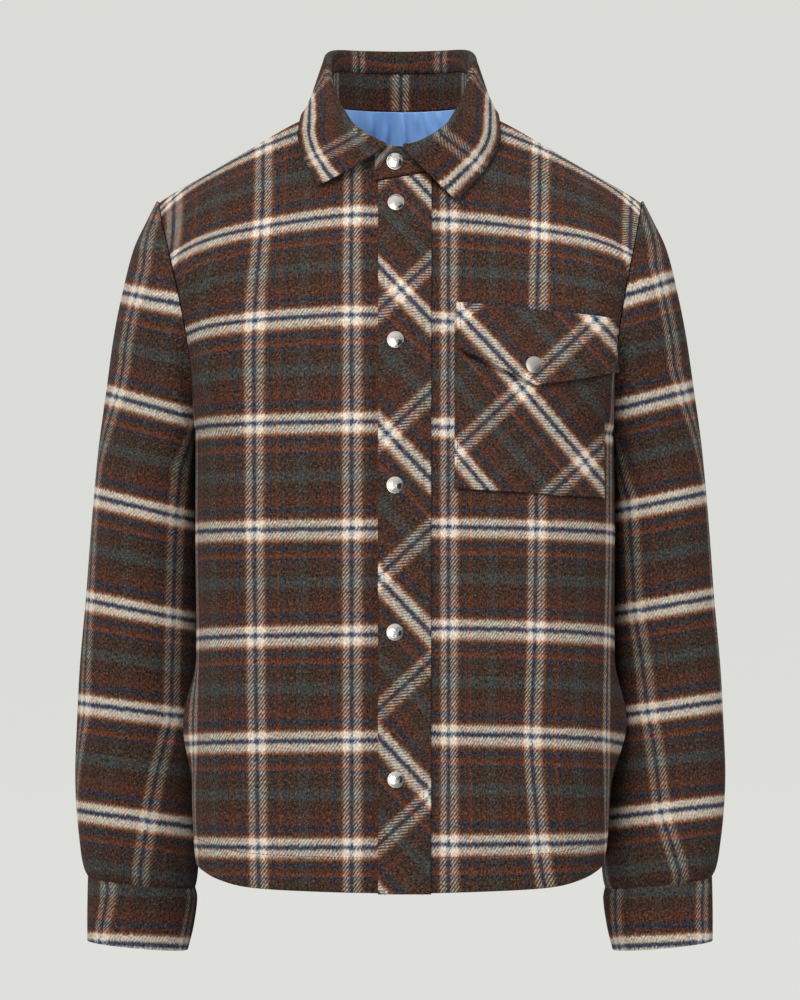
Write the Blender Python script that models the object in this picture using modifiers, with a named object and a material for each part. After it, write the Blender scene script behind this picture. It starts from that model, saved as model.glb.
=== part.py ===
# Plaid wool shacket, closed down the front, in the hollow form it has when worn.
# Metres, +Z up. The front faces -Y, and the wearer's left is +X.
# The origin lies between the shoulders, where the wearer's shoulders carry the garment.

import math

import bmesh
import bpy
from mathutils import Matrix, Vector
from mathutils.bvhtree import BVHTree

# Driving dimensions

WALL = 0.0024              # brushed wool with its backing
TWO_PLY = 0.0030           # collar, stand, cuffs and placket are two plies
SEAM = 0.0003              # gap between pieces that are sewn together
CURVED_SEAM = 0.00045      # the same where the seam is curved in two directions
LINING = 0.0010
LINING_GAP = 0.0005

SECTION_POWER = 2.9        # how square the body's round is
SLEEVE_POWER = 2.2

CHEST_Z = -0.360           # the level row that parts the upper and the lower body
UNDERARM_Z = -0.285
UNDERARM_SHARE = 0.80      # where the underarm falls on the way down to the chest row
SHOULDER_X = 0.2235
SHOULDER_Z = -0.0735
SHOULDER_SLOPE = 0.54
ARMHOLE_FRONT = 0.080      # how far the armhole swings forward and back
ARMHOLE_BACK = 0.077

NECK_HALF_WIDTH = 0.066
NECK_HALF_DEPTH = 0.0815
NECK_CENTRE_Y = -0.0135
NECK_SHARE = 0.36          # share of a panel's top edge that is neckline
STAND_SEAM_Z = -0.0562     # seam between the stand's left end and the placket, on the centre line
STAND_SEAM_SLOPE = 0.184   # it rises towards the wearer's left

HEM_FRONT_Z = -0.7037
HEM_BACK_Z = -0.7120
HEM_SIDE_RISE = 0.0211     # the tail curves up by this much at the side seams

DROP_POWER = 2.0           # how soon the top edge stops shaping the panel below it
ARMHOLE_HOLD = 1.7         # how near the armhole its own shape stays
CORNER_REACH = 0.16
CORNER_DEPTH = 0.22

UNDERLAP_X = 0.0200
SUNK_SHARE = 0.06          # the right front comes level again this far from the centre line
PLACKET_RIGHT_X = -0.0197  # the free edge
PLACKET_LEFT_X = 0.0278
PLACKET_DROP = 0.0020      # its top edge leans forward under the stand

POCKET_MOUTH_Z = -0.556    # in-seam hand pocket
POCKET_MOUTH_HALF = 0.062
POCKET_SWELL = 0.0105
POCKET_SHARE = 0.93        # where on the front the swelling is highest
POCKET_REACH = 0.14        # how far it runs towards the centre line

STAND_RIGHT_END = 18.0     # degrees past the centre front, under the left end
STAND_LEFT_END = -19.5     # the left end laps over it
STAND_LAP = 0.0040         # the left end steps out to lie flush with the placket
STAND_CLEAR = 0.0010       # and stays this far in front of the fronts
STAND_TUCK = 0.0006        # the right end tucks in under it
STAND_CORNER = 0.0040
STAND_ROWS = 4

SNAP_RADIUS = 0.0075
SNAP_HEIGHT = 0.0028
# Out and up from the middle of the dome to its rim and back under it
SNAP_PROFILE = ((0, 1), (0.45, 0.92), (0.80, 0.66), (0.97, 0.34), (1, 0.16), (0.95, 0), (0, 0))
SNAP_STEPS = 16

# Mesh fineness

NEARLY = 0.001
PANEL_COLUMNS = 14
PANEL_REACH = 0.27         # about the length of a front from the centre line to the side seam
LONGEST_MOVE = 0.06        # bounds for finding the place on a front that is seen at x and z
LAST_SHARE = 0.985
UPPER_ROWS = 12
LOWER_ROWS = 9
SLEEVE_SIDES = 24
COLLAR_STEPS = 40
ROLL_STEPS = 6
FALL_STEPS = 6
PLACKET_ROWS = 22
POCKET_CELLS = 13
FLAP_ROWS = 6

# The body's half widths and depths at each height
# z, half width on the right, half width on the left, depth in front, depth behind
BODY = (
    (-0.270, 0.1915, 0.1985, 0.1380, 0.1390),
    (-0.331, 0.1897, 0.1980, 0.1390, 0.1390),
    (-0.420, 0.1893, 0.1986, 0.1370, 0.1380),
    (-0.500, 0.1893, 0.1990, 0.1355, 0.1370),
    (-0.560, 0.1910, 0.1995, 0.1345, 0.1360),
    (-0.620, 0.1930, 0.1950, 0.1330, 0.1350),
    (-0.660, 0.1912, 0.1925, 0.1320, 0.1340),
    (-0.690, 0.1888, 0.1890, 0.1310, 0.1330),
    (-0.730, 0.1865, 0.1870, 0.1300, 0.1320),
)

# How much of its rise the hem has made, from the centre line out to the side seam
# share, risen
HEM = (
    (0.00, 0.00),
    (0.33, 0.10),
    (0.48, 0.16),
    (0.56, 0.24),
    (0.65, 0.43),
    (0.78, 0.74),
    (1.00, 1.00),
)

# The centre lines from the neck down to the chest row
# z, y
CENTRE_FRONT = (
    (-0.360, -0.1390),
    (-0.300, -0.1385),
    (-0.240, -0.1345),
    (-0.160, -0.1215),
    (-0.100, -0.1065),
    (-0.057, -0.0950),
)
CENTRE_BACK = (
    (-0.360, 0.1385),
    (-0.280, 0.1395),
    (-0.180, 0.1345),
    (-0.100, 0.1190),
    (-0.040, 0.0975),
    (0.000, 0.0780),
    (0.0184, 0.0680),
)

# The shoulder seam, from the neck out to the sleeve head
# share, x, z
SHOULDER = (
    (0.00, 0.0660, 0.0120),
    (0.20, 0.0967, 0.0000),
    (0.48, 0.1420, -0.0255),
    (0.78, 0.1880, -0.0520),
    (1.00, 0.2235, -0.0735),
)

# How far out the armhole seam lies at each height
# z, x
ARMHOLE = (
    (-0.285, 0.1912),
    (-0.255, 0.1905),
    (-0.220, 0.1925),
    (-0.180, 0.1985),
    (-0.130, 0.2095),
    (-0.100, 0.2170),
    (-0.0735, 0.2235),
)

# Heights round the neck, by the angle from the centre front
# angle, neckline, top of the stand, roll
NECK = (
    (0.0, -0.0573, -0.0337, -0.0280),
    (13.0, -0.0535, -0.0308, -0.0252),
    (35.0, -0.0350, -0.0155, -0.0095),
    (50.0, -0.0195, 0.0005, 0.0056),
    (66.0, -0.0050, 0.0180, 0.0245),
    (82.0, 0.0080, 0.0350, 0.0450),
    (90.0, 0.0120, 0.0400, 0.0545),
    (102.0, 0.0150, 0.0460, 0.0660),
    (120.0, 0.0170, 0.0505, 0.0715),
    (150.0, 0.0181, 0.0520, 0.0738),
    (180.0, 0.0184, 0.0525, 0.0743),
)

# Sleeve sections: the high outer point, the low inner point with its room to the body's side,
# and the depth from front to back
# outer x, outer z, room, inner z, centre y, half depth
SLEEVE = (
    (0.2390, -0.0925, 0.0014, -0.3000, 0.003, 0.0815),
    (0.2503, -0.1166, 0.0015, -0.3090, 0.007, 0.0790),
    (0.2590, -0.1550, 0.0015, -0.3190, 0.011, 0.0760),
    (0.2668, -0.1950, 0.0015, -0.3330, 0.015, 0.0725),
    (0.2740, -0.2441, 0.0015, -0.3550, 0.020, 0.0690),
    (0.2825, -0.3031, 0.0015, -0.3850, 0.025, 0.0660),
    (0.2893, -0.3750, 0.0015, -0.4250, 0.029, 0.0630),
    (0.2944, -0.4419, 0.0015, -0.4720, 0.032, 0.0600),
    (0.2998, -0.5050, 0.0015, -0.5250, 0.035, 0.0570),
    (0.3028, -0.5550, 0.0015, -0.5710, 0.036, 0.0545),
    (0.3047, -0.6060, 0.0015, -0.6215, 0.036, 0.0520),
    (0.3030, -0.6450, 0.0022, -0.6600, 0.036, 0.0490),
    (0.2992, -0.6800, 0.0046, -0.6930, 0.036, 0.0445),
    (0.2960, -0.6955, 0.0068, -0.7070, 0.036, 0.0390),
    (0.2925, -0.7030, 0.0092, -0.7138, 0.036, 0.0340),
)
CUFF = (
    (0.2925, -0.7030, 0.0092, -0.7138, 0.036, 0.0340),
    (0.2930, -0.7130, 0.0080, -0.7240, 0.036, 0.0345),
    (0.2936, -0.7400, 0.0118, -0.7500, 0.036, 0.0335),
    (0.2935, -0.7630, 0.0170, -0.7710, 0.036, 0.0325),
)

# The leaf's outer edge on each side, by the angle from the centre front.
# In front it lies on the fronts at x and z, and y is found there. Behind, y is given.
# angle, x, y, z
EDGE_RIGHT = (
    (10.0, 0.0731, None, -0.0657),
    (22.0, 0.0830, None, -0.0495),
    (38.0, 0.0895, None, -0.0352),
    (55.0, 0.0955, -0.0440, -0.0140),
    (75.0, 0.0965, -0.0130, 0.0065),
    (95.0, 0.0945, 0.0180, 0.0070),
    (115.0, 0.0855, 0.0500, 0.0080),
    (135.0, 0.0700, 0.0740, 0.0080),
    (155.0, 0.0400, 0.0870, 0.0080),
    (180.0, 0.0000, 0.0910, 0.0080),
)
EDGE_LEFT = (
    (2.0, 0.0505, None, -0.0804),
    (14.0, 0.0632, None, -0.0658),
    (28.0, 0.0758, None, -0.0510),
    (42.0, 0.0866, None, -0.0368),
    (57.0, 0.0935, -0.0440, -0.0170),
    (75.0, 0.0950, -0.0130, 0.0065),
    (95.0, 0.0935, 0.0180, 0.0070),
    (115.0, 0.0855, 0.0500, 0.0080),
    (135.0, 0.0700, 0.0740, 0.0080),
    (155.0, 0.0400, 0.0870, 0.0080),
    (180.0, 0.0000, 0.0910, 0.0080),
)
LEAF_LIFT = 0.0045         # the leaf's face above the fronts it lies on
LEAF_LYING_Y = -0.030      # in front of this the leaf lies on the fronts
LEAF_BOW = 0.0040          # the fall rounds out by this much, but hangs straight at the sides
ROLL_WIDTH = 0.0092        # from the face inside the neck to the face of the fall

# Chest pocket and flap, as seen from the front
POCKET_LEFT_X = 0.0488
POCKET_RIGHT_X = 0.1835
POCKET_TOP_Z = (-0.1815, -0.1925)
POCKET_BOTTOM_Z = (-0.3395, -0.3485)
FLAP_LEFT_X = 0.0492
FLAP_RIGHT_X = 0.1900
FLAP_TOP_Z = (-0.1732, -0.1860)
# x, z
FLAP_LOWER_EDGE = (
    (0.0510, -0.2120),
    (0.0563, -0.2175),
    (0.0880, -0.2325),
    (0.1215, -0.2475),
    (0.1550, -0.2420),
    (0.1900, -0.2335),
)

# Snap caps down the front, as seen from the front
# x, z
SNAPS = (
    (-0.0046, -0.0434),
    (-0.0036, -0.0810),
    (-0.0041, -0.2062),
    (-0.0045, -0.3366),
    (-0.0045, -0.4683),
    (-0.0036, -0.6005),
)
POCKET_SNAP = (0.1204, -0.2286)
POCKET_GAP = 5 * SEAM      # the panel below is coarser, so the bag keeps clear of its corners
FLAP_GAP = POCKET_GAP + WALL + 5 * SEAM

# Colours and surface values of each finish
FINISHES = {
    "plaid_wool": ((0.075, 0.045, 0.032, 1.0), 0.95, 0.0),
    "bias_plaid_wool": ((0.085, 0.052, 0.038, 1.0), 0.95, 0.0),
    "blue_satin": ((0.12, 0.30, 0.72, 1.0), 0.42, 0.0),
    "polished_metal": ((0.62, 0.60, 0.56, 1.0), 0.22, 1.0),
}


# Tables and easing

def smooth(table, at, column, key=0):
    """Read a column of a table at a value of its key column, along a smooth curve."""
    keys = [row[key] for row in table]
    values = [row[column] for row in table]
    if keys[0] > keys[-1]:
        keys.reverse()
        values.reverse()
    if at <= keys[0]:
        return values[0]
    if at >= keys[-1]:
        return values[-1]
    place = 0
    while at > keys[place + 1]:
        place += 1
    slopes = []
    for index in (place, place + 1):
        before = max(index - 1, 0)
        after = min(index + 1, len(keys) - 1)
        slopes.append((values[after] - values[before]) / (keys[after] - keys[before]))
    span = keys[place + 1] - keys[place]
    u = (at - keys[place]) / span
    start = values[place] * (1 + 2 * u) + slopes[0] * span * u
    end = values[place + 1] * (3 - 2 * u) - slopes[1] * span * (1 - u)
    return start * (1 - u) ** 2 + end * u ** 2


def ease(u):
    """Rise from 0 to 1 with level ends."""
    u = min(max(u, 0.0), 1.0)
    return u * u * (3 - 2 * u)


def mix(pair, part):
    """Value between two."""
    return pair[0] + (pair[1] - pair[0]) * part


def bell(u):
    """Stand at 1 for u = 0 and fall to 0 at -1 and 1."""
    return math.cos(0.5 * math.pi * u) ** 2 if abs(u) < 1 else 0.0


def power(value, exponent):
    """Raise the size of a value to a power and keep its sign."""
    return math.copysign(abs(value) ** exponent, value)


# The body's form

def quarter_lengths(steps=400):
    """How far along a quarter of the body's round each even step of angle lies, from 0 to 1."""
    lengths = [0.0]
    chest = BODY[2]
    half_width = chest[1]
    half_depth = chest[3]
    before = (0.0, half_depth)
    for index in range(1, steps + 1):
        angle = 0.5 * math.pi * index / steps
        x = half_width * math.sin(angle) ** (2 / SECTION_POWER)
        y = half_depth * max(math.cos(angle), 0.0) ** (2 / SECTION_POWER)
        lengths.append(lengths[-1] + math.hypot(x - before[0], y - before[1]))
        before = (x, y)
    return [length / lengths[-1] for length in lengths]


QUARTER = quarter_lengths()


def angle_at(share):
    """Turn a share of the quarter's length into its angle."""
    low = 0
    high = len(QUARTER) - 1
    while high - low > 1:
        middle = (low + high) // 2
        if QUARTER[middle] > share:
            high = middle
        else:
            low = middle
    part = (share - QUARTER[low]) / (QUARTER[high] - QUARTER[low])
    return 0.5 * math.pi * (low + part) / (len(QUARTER) - 1)


def half_width(z, side):
    """Half width of the body at the side seam; side is -1 on the wearer's right, 1 on the left."""
    return smooth(BODY, z, 1 if side < 0 else 2)


def section(z, share, side, face):
    """Point on the body's round at a height; face is -1 in front and 1 behind."""
    angle = angle_at(min(share, 1.0))
    depth = smooth(BODY, z, 3 if face < 0 else 4)
    x = side * half_width(z, side) * math.sin(angle) ** (2 / SECTION_POWER)
    y = face * depth * max(math.cos(angle), 0.0) ** (2 / SECTION_POWER)
    return Vector((x, y, z))


def side_reach(z, y, side):
    """How far out the body's side lies at a height and a depth."""
    back_share = y / smooth(BODY, z, 4)
    return half_width(z, side) * (1 - back_share ** SECTION_POWER) ** (1 / SECTION_POWER)


def neck_ring(angle, inset=0.0):
    """Place round the neck in plan, by the signed angle from the centre front."""
    turn = math.radians(angle)
    x = (NECK_HALF_WIDTH - inset) * math.sin(turn)
    y = NECK_CENTRE_Y - (NECK_HALF_DEPTH - inset) * math.cos(turn)
    return x, y


def neckline(angle):
    """Point on the neck seam, by the signed angle from the centre front."""
    x, y = neck_ring(angle)
    return Vector((x, y, smooth(NECK, abs(angle), 1)))


def top_edge(share, side, face):
    """Neckline, then shoulder seam, from the centre line out to the sleeve head."""
    if share <= NECK_SHARE:
        turn = 90 * share / NECK_SHARE
        return neckline(side * (turn if face < 0 else 180 - turn))
    along = (share - NECK_SHARE) / (1 - NECK_SHARE)
    start = neckline(side * 90)
    x = smooth(SHOULDER, along, 1)
    z = smooth(SHOULDER, along, 2)
    return Vector((side * x, start.y * (1 - along), z))


def armhole(turn, side, face):
    """Point on the armhole seam; turn runs from 0 at the shoulder to 1 at the underarm."""
    middle = 0.5 * (SHOULDER_Z + UNDERARM_Z)
    reach = 0.5 * (SHOULDER_Z - UNDERARM_Z)
    angle = math.pi * turn
    z = middle + reach * math.cos(angle)
    swing = ARMHOLE_FRONT if face < 0 else ARMHOLE_BACK
    y = face * swing * math.sin(angle) ** 0.92 if 0 < turn < 1 else 0.0
    widen = (half_width(UNDERARM_Z, side) - half_width(UNDERARM_Z, -1)) * ease(turn)
    return Vector((side * (smooth(ARMHOLE, z, 1) + widen), y, z))


def outer_edge(share, side, face):
    """Armhole seam, then the top of the side seam, down to the chest row."""
    if share <= UNDERARM_SHARE:
        return armhole(share / UNDERARM_SHARE, side, face)
    along = (share - UNDERARM_SHARE) / (1 - UNDERARM_SHARE)
    z = UNDERARM_Z + (CHEST_Z - UNDERARM_Z) * along
    return Vector((side * half_width(z, side), 0.0, z))


def centre_edge(share, face):
    """Centre line from the neck down to the chest row."""
    table = CENTRE_FRONT if face < 0 else CENTRE_BACK
    top = neckline(0 if face < 0 else 180).z
    z = top + (CHEST_Z - top) * share
    return Vector((0.0, smooth(table, z, 1), z))


def soft_top_edge(share, down, side, face):
    """The top edge, whose corner at the neck point is rounded off a little way down."""
    sharp = top_edge(share, side, face)
    reach = min(CORNER_REACH, share, 1 - share)
    round_off = ease(down / CORNER_DEPTH)
    if reach <= 0 or round_off <= 0:
        return sharp
    total = Vector((0.0, 0.0, 0.0))
    for step in range(-3, 4):
        total += top_edge(share + reach * step / 3, side, face)
    return sharp * (1 - round_off) + total / 7 * round_off


def upper_body(share, down, side, face):
    """Blend the four edges of the upper panel."""
    across = ease(share) ** ARMHOLE_HOLD
    drop = 1 - (1 - down) ** DROP_POWER
    sides = centre_edge(down, face) * (1 - across) + outer_edge(down, side, face) * across
    ends = soft_top_edge(share, down, side, face) * (1 - drop)
    ends += section(CHEST_Z, share, side, face) * drop
    top = centre_edge(0, face) * (1 - across) + outer_edge(0, side, face) * across
    low = centre_edge(1, face) * (1 - across) + outer_edge(1, side, face) * across
    return sides + ends - top * (1 - drop) - low * drop


def hem_height(share, face):
    """Height of the hem, which curves up to the side seams."""
    level = HEM_FRONT_Z if face < 0 else HEM_BACK_Z
    side_level = HEM_FRONT_Z + HEM_SIDE_RISE
    return mix((level, side_level), smooth(HEM, share, 1))


def pocket_swell(share, z, side):
    """How far the in-seam pocket pushes the front out beside its mouth."""
    along = bell((z - POCKET_MOUTH_Z) / POCKET_MOUTH_HALF)
    reach = POCKET_REACH if share < POCKET_SHARE else 0.5 * POCKET_REACH
    across = bell((share - POCKET_SHARE) / reach)
    return side * POCKET_SWELL * along * across


def body(share, down, face):
    """Point on the outside of the body.

    share runs from 0 on the centre line to 1 at the side seam, and is negative on the wearer's
    right. down runs from 0 at the top edge through 1 at the chest row to 2 at the hem.
    """
    side = -1 if share < 0 else 1
    share = abs(share)
    if down <= 1:
        return upper_body(share, down, side, face)
    z = CHEST_Z + (hem_height(share, face) - CHEST_Z) * (down - 1)
    point = section(z, share, side, face)
    if face < 0:
        point.x += pocket_swell(share, z, side)
    return point


def body_normal(share, down, face):
    """Outward direction on the body."""
    step = 4 * NEARLY
    low = max(down - step, 0.0)
    high = min(down + step, 2.0)
    left = share - step
    right = share + step
    if abs(right) > 1 or abs(left) > 1:
        left = share - step if share > 0 else share
        right = share if share > 0 else share + step
    across = body(right, down, face) - body(left, down, face)
    along = body(share, high, face) - body(share, low, face)
    normal = across.cross(along) * face
    return normal.normalized()


def on_front(x, z):
    """Share and down of the place on the front that is seen at x and z, and how far off it is."""
    share = x / PANEL_REACH
    top = neckline(0).z
    down = (z - top) / (CHEST_Z - top) if z > CHEST_Z else 1 + (z - CHEST_Z) / (HEM_FRONT_Z - CHEST_Z)
    step = 2 * NEARLY
    down = min(max(down, step), 2 - step)
    miss = 1.0
    for turn in range(40):
        here = body(share, down, -1)
        error_x = x - here.x
        error_z = z - here.z
        miss = abs(error_x) + abs(error_z)
        if miss < NEARLY ** 2 / 10:
            break
        right = body(share + step, down, -1) - here
        if down < 2 - 2 * step:
            below = body(share, down + step, -1) - here
        else:
            below = here - body(share, down - step, -1)
        scale = right.x * below.z - below.x * right.z
        move_share = step * (error_x * below.z - below.x * error_z) / scale
        move_down = step * (right.x * error_z - error_x * right.z) / scale
        share += min(max(move_share, -LONGEST_MOVE), LONGEST_MOVE)
        down += min(max(move_down, -LONGEST_MOVE), LONGEST_MOVE)
        share = min(max(share, -LAST_SHARE), LAST_SHARE)
        down = min(max(down, 0.0), 2.0)
    return share, down, miss


def front_spot(x, z, lift=0.0):
    """Point above the front, seen at x and z, and the outward direction there."""
    share, down, miss = on_front(x, z)
    normal = body_normal(share, down, -1)
    return body(share, down, -1) + normal * lift, normal


# Meshes

def finish(name):
    """Make or find the material of a finish."""
    material = bpy.data.materials.get(name)
    if material is None:
        colour, roughness, metallic = FINISHES[name]
        material = bpy.data.materials.new(name)
        material.use_nodes = True
        shader = material.node_tree.nodes["Principled BSDF"]
        shader.inputs["Base Color"].default_value = colour
        shader.inputs["Roughness"].default_value = roughness
        shader.inputs["Metallic"].default_value = metallic
        material.diffuse_color = colour
    return material


def add_piece(name, mesh, finish_name):
    """Put a mesh into the garment's collection as a named piece."""
    piece = bpy.data.objects.new(name, mesh)
    garment.objects.link(piece)
    mesh.materials.clear()
    mesh.materials.append(finish(finish_name))
    mesh.shade_smooth()
    mesh.set_sharp_from_angle(angle=math.radians(40))
    return piece


def wall_mesh(name, outer, inner, closed=False):
    """Join an outer and an inner loft, of equal rows, into one closed wall."""
    mesh_maker = bmesh.new()
    outside = [[mesh_maker.verts.new(point) for point in row] for row in outer]
    inside = [[mesh_maker.verts.new(point) for point in row] for row in inner]
    count = len(outer[0])
    spans = count if closed else count - 1
    last = len(outer) - 1
    for r in range(last):
        for c in range(spans):
            d = (c + 1) % count
            mesh_maker.faces.new((outside[r][c], outside[r + 1][c], outside[r + 1][d]))
            mesh_maker.faces.new((outside[r][c], outside[r + 1][d], outside[r][d]))
            mesh_maker.faces.new((inside[r][c], inside[r + 1][d], inside[r + 1][c]))
            mesh_maker.faces.new((inside[r][c], inside[r][d], inside[r + 1][d]))
    for c in range(spans):
        d = (c + 1) % count
        mesh_maker.faces.new((outside[0][d], inside[0][d], inside[0][c], outside[0][c]))
        mesh_maker.faces.new((outside[last][c], inside[last][c], inside[last][d], outside[last][d]))
    if not closed:
        for r in range(last):
            mesh_maker.faces.new((outside[r][0], inside[r][0], inside[r + 1][0], outside[r + 1][0]))
            end = count - 1
            mesh_maker.faces.new((outside[r + 1][end], inside[r + 1][end], inside[r][end], outside[r][end]))
    bmesh.ops.recalc_face_normals(mesh_maker, faces=mesh_maker.faces)
    mesh = bpy.data.meshes.new(name)
    mesh_maker.to_mesh(mesh)
    mesh_maker.free()
    return mesh


def shift(rows, directions, distance):
    """Move each point of a loft along its direction."""
    moved = []
    for row, line in zip(rows, directions):
        moved.append([point + direction * distance for point, direction in zip(row, line)])
    return moved


# Fronts and back

def shares_between(start, end, columns):
    """Column places, which are closer round the front of the neck."""
    step = 1.0 / columns
    places = [index * step for index in range(-columns, columns + 1)]
    if start > -1 or end < 1:
        places += [-0.5 * step, 0.5 * step]
    inside = [share for share in sorted(places) if start < share < end]
    return [start] + inside + [end]


def down_places():
    """Row places from the top edge to the hem, closer where the shoulder rounds over."""
    upper = [(index / UPPER_ROWS) ** 1.15 for index in range(UPPER_ROWS)]
    lower = [1 + index / LOWER_ROWS for index in range(LOWER_ROWS + 1)]
    return upper + lower


def panel_points(start, end, face):
    """Outer points and inward directions of a body panel."""
    rows = []
    directions = []
    shares = shares_between(start, end, PANEL_COLUMNS)
    for down in down_places():
        row = []
        line = []
        for share in shares:
            point = body(share, down, face)
            inward = -body_normal(share, down, face)
            side = -1 if share < 0 else 1
            at_side = abs(share) > 1 - NEARLY
            at_shoulder = down < NEARLY and abs(share) > NECK_SHARE - NEARLY
            if at_side and down > UNDERARM_SHARE - NEARLY:
                inward = Vector((-side, 0.0, 0.0))
                point.y += face * 0.5 * CURVED_SEAM
            if at_shoulder:
                inward = Vector((-side * SHOULDER_SLOPE, 0.0, -1.0)).normalized()
                point.y += face * 0.5 * CURVED_SEAM
            row.append(point)
            line.append(inward)
        rows.append(row)
        directions.append(line)
    return rows, directions, shares


def front_panel(name, start, end, sunk):
    """One front; sunk is how far its centre edge lies under the layers that lap over it."""
    rows, directions, shares = panel_points(start, end, -1)
    for row, line in zip(rows, directions):
        for index, share in enumerate(shares):
            away = max(-share - SUNK_SHARE, 0.0) / SUNK_SHARE
            row[index] = row[index] + line[index] * sunk * ease(1 - 0.5 * away)
    inner = shift(rows, directions, WALL)
    return add_piece(name, wall_mesh(name, rows, inner), "plaid_wool")


def back_panel():
    """The back, with its lining hung a seam's gap inside it."""
    rows, directions, shares = panel_points(-1.0, 1.0, 1)
    inner = shift(rows, directions, WALL)
    add_piece("back", wall_mesh("back", rows, inner), "plaid_wool")
    lining_rows = []
    lining_lines = []
    for row, line in list(zip(rows, directions))[:-1]:
        lining_rows.append([row[index] for index in range(1, len(row) - 1)])
        lining_lines.append([line[index] for index in range(1, len(row) - 1)])
    face = shift(lining_rows, lining_lines, WALL + LINING_GAP)
    reverse = shift(lining_rows, lining_lines, WALL + LINING_GAP + LINING)
    add_piece("back_lining", wall_mesh("back_lining", face, reverse), "blue_satin")


# Placket, pocket and flap

def laid_strip(name, panel, grid, gap, thickness, finish_name):
    """A piece laid on a front panel; grid holds x and z of its points, row by row."""
    faces = [tuple(polygon.vertices) for polygon in panel.data.polygons]
    surface = BVHTree.FromPolygons([vertex.co for vertex in panel.data.vertices], faces)
    low = []
    high = []
    for line in grid:
        low_row = []
        high_row = []
        for x, z in line:
            point, normal = front_spot(x, z)
            hit = surface.ray_cast(Vector((x, 2 * point.y, z)), Vector((0.0, 1.0, 0.0)))[0]
            if hit is not None:
                point.y = min(point.y, hit.y)
            low_row.append(point + normal * gap)
            high_row.append(point + normal * (gap + thickness))
        low.append(low_row)
        high.append(high_row)
    return add_piece(name, wall_mesh(name, high, low), finish_name)


def placket_grid():
    """x and z down the placket, from the neck seam to the hem."""
    columns = [mix((PLACKET_RIGHT_X, PLACKET_LEFT_X), index / 4) for index in range(5)]
    grid = []
    for index in range(PLACKET_ROWS + 1):
        line = []
        for x in columns:
            top = stand_seam(x) - PLACKET_DROP
            line.append((x, mix((top, HEM_FRONT_Z), index / PLACKET_ROWS)))
        grid.append(line)
    return grid


def pocket_grid():
    """x and z of the chest pocket's bag."""
    grid = []
    for r in range(POCKET_CELLS + 1):
        line = []
        for c in range(POCKET_CELLS + 1):
            part = c / POCKET_CELLS
            x = mix((POCKET_LEFT_X, POCKET_RIGHT_X), part)
            z = mix((mix(POCKET_TOP_Z, part), mix(POCKET_BOTTOM_Z, part)), r / POCKET_CELLS)
            line.append((x, z))
        grid.append(line)
    return grid


def flap_grid():
    """x and z of the flap, whose lower edge comes to a blunt point."""
    grid = []
    for r in range(FLAP_ROWS + 1):
        line = []
        for c in range(POCKET_CELLS + 1):
            part = c / POCKET_CELLS
            top_x = mix((FLAP_LEFT_X, FLAP_RIGHT_X), part)
            top_z = mix(FLAP_TOP_Z, part)
            low_x = mix((FLAP_LOWER_EDGE[0][0], FLAP_LOWER_EDGE[-1][0]), part)
            low_z = broken_line(FLAP_LOWER_EDGE, low_x)
            down = r / FLAP_ROWS
            line.append((mix((top_x, low_x), down), mix((top_z, low_z), down)))
        grid.append(line)
    return grid


def broken_line(table, x):
    """Height of an edge made of straight runs."""
    for before, after in zip(table, table[1:]):
        if x <= after[0]:
            return mix((before[1], after[1]), (x - before[0]) / (after[0] - before[0]))
    return table[-1][1]


# Sleeves and cuffs

def ring_of(row, side, shift_in=0.0):
    """Closed ring of points for one row of the sleeve or cuff table."""
    outer_x, outer_z, room, inner_z, centre_y, half_depth = row
    inner_x = side_reach(inner_z, centre_y, side) + room
    outer = Vector((side * outer_x, centre_y, outer_z))
    inner = Vector((side * inner_x, centre_y, inner_z))
    centre = (outer + inner) * 0.5
    reach = (outer - inner) * 0.5
    ring = []
    for index in range(SLEEVE_SIDES):
        angle = 2 * math.pi * index / SLEEVE_SIDES
        along = power(math.cos(angle), 2 / SLEEVE_POWER)
        across = power(math.sin(angle), 2 / SLEEVE_POWER)
        size = 1 - shift_in / reach.length
        depth = half_depth - shift_in
        ring.append(centre + reach * along * size + Vector((0.0, -across * depth, 0.0)))
    return ring


def armhole_ring(side, inset=0.0):
    """Ring that meets the body at the armhole seam."""
    ring = []
    middle = Vector((0.0, 0.0, 0.5 * (SHOULDER_Z + UNDERARM_Z)))
    for index in range(SLEEVE_SIDES):
        part = 2 * index / SLEEVE_SIDES
        face = -1 if part <= 1 else 1
        turn = part if part <= 1 else 2 - part
        point = armhole(turn, side, face)
        inward = middle - Vector((0.0, point.y, point.z))
        point = point + inward.normalized() * inset
        point.x += side * CURVED_SEAM
        ring.append(point)
    return ring


def sleeve(name, side):
    """One sleeve, from the armhole seam to the cuff seam."""
    outer = [armhole_ring(side)] + [ring_of(row, side) for row in SLEEVE]
    inner = [armhole_ring(side, WALL)] + [ring_of(row, side, WALL) for row in SLEEVE]
    if side < 0:
        outer = [list(reversed(ring)) for ring in outer]
        inner = [list(reversed(ring)) for ring in inner]
    return add_piece(name, wall_mesh(name, outer, inner, closed=True), "plaid_wool")


def cuff(name, side):
    """One cuff, a seam's gap below the sleeve."""
    outer = [ring_of(row, side, 0.0) for row in CUFF]
    inner = [ring_of(row, side, TWO_PLY) for row in CUFF]
    for ring in (outer[0], inner[0]):
        for point in ring:
            point.z -= CURVED_SEAM
    if side < 0:
        outer = [list(reversed(ring)) for ring in outer]
        inner = [list(reversed(ring)) for ring in inner]
    return add_piece(name, wall_mesh(name, outer, inner, closed=True), "plaid_wool")


# Collar

def stand_seam(x):
    """Height of the seam between the stand's left end and the placket."""
    return STAND_SEAM_Z + STAND_SEAM_SLOPE * x


def lap_share(turn):
    """How far the layers in front have stepped out for the left end, from 0 to 1."""
    return ease((52 - turn) / 19)


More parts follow.
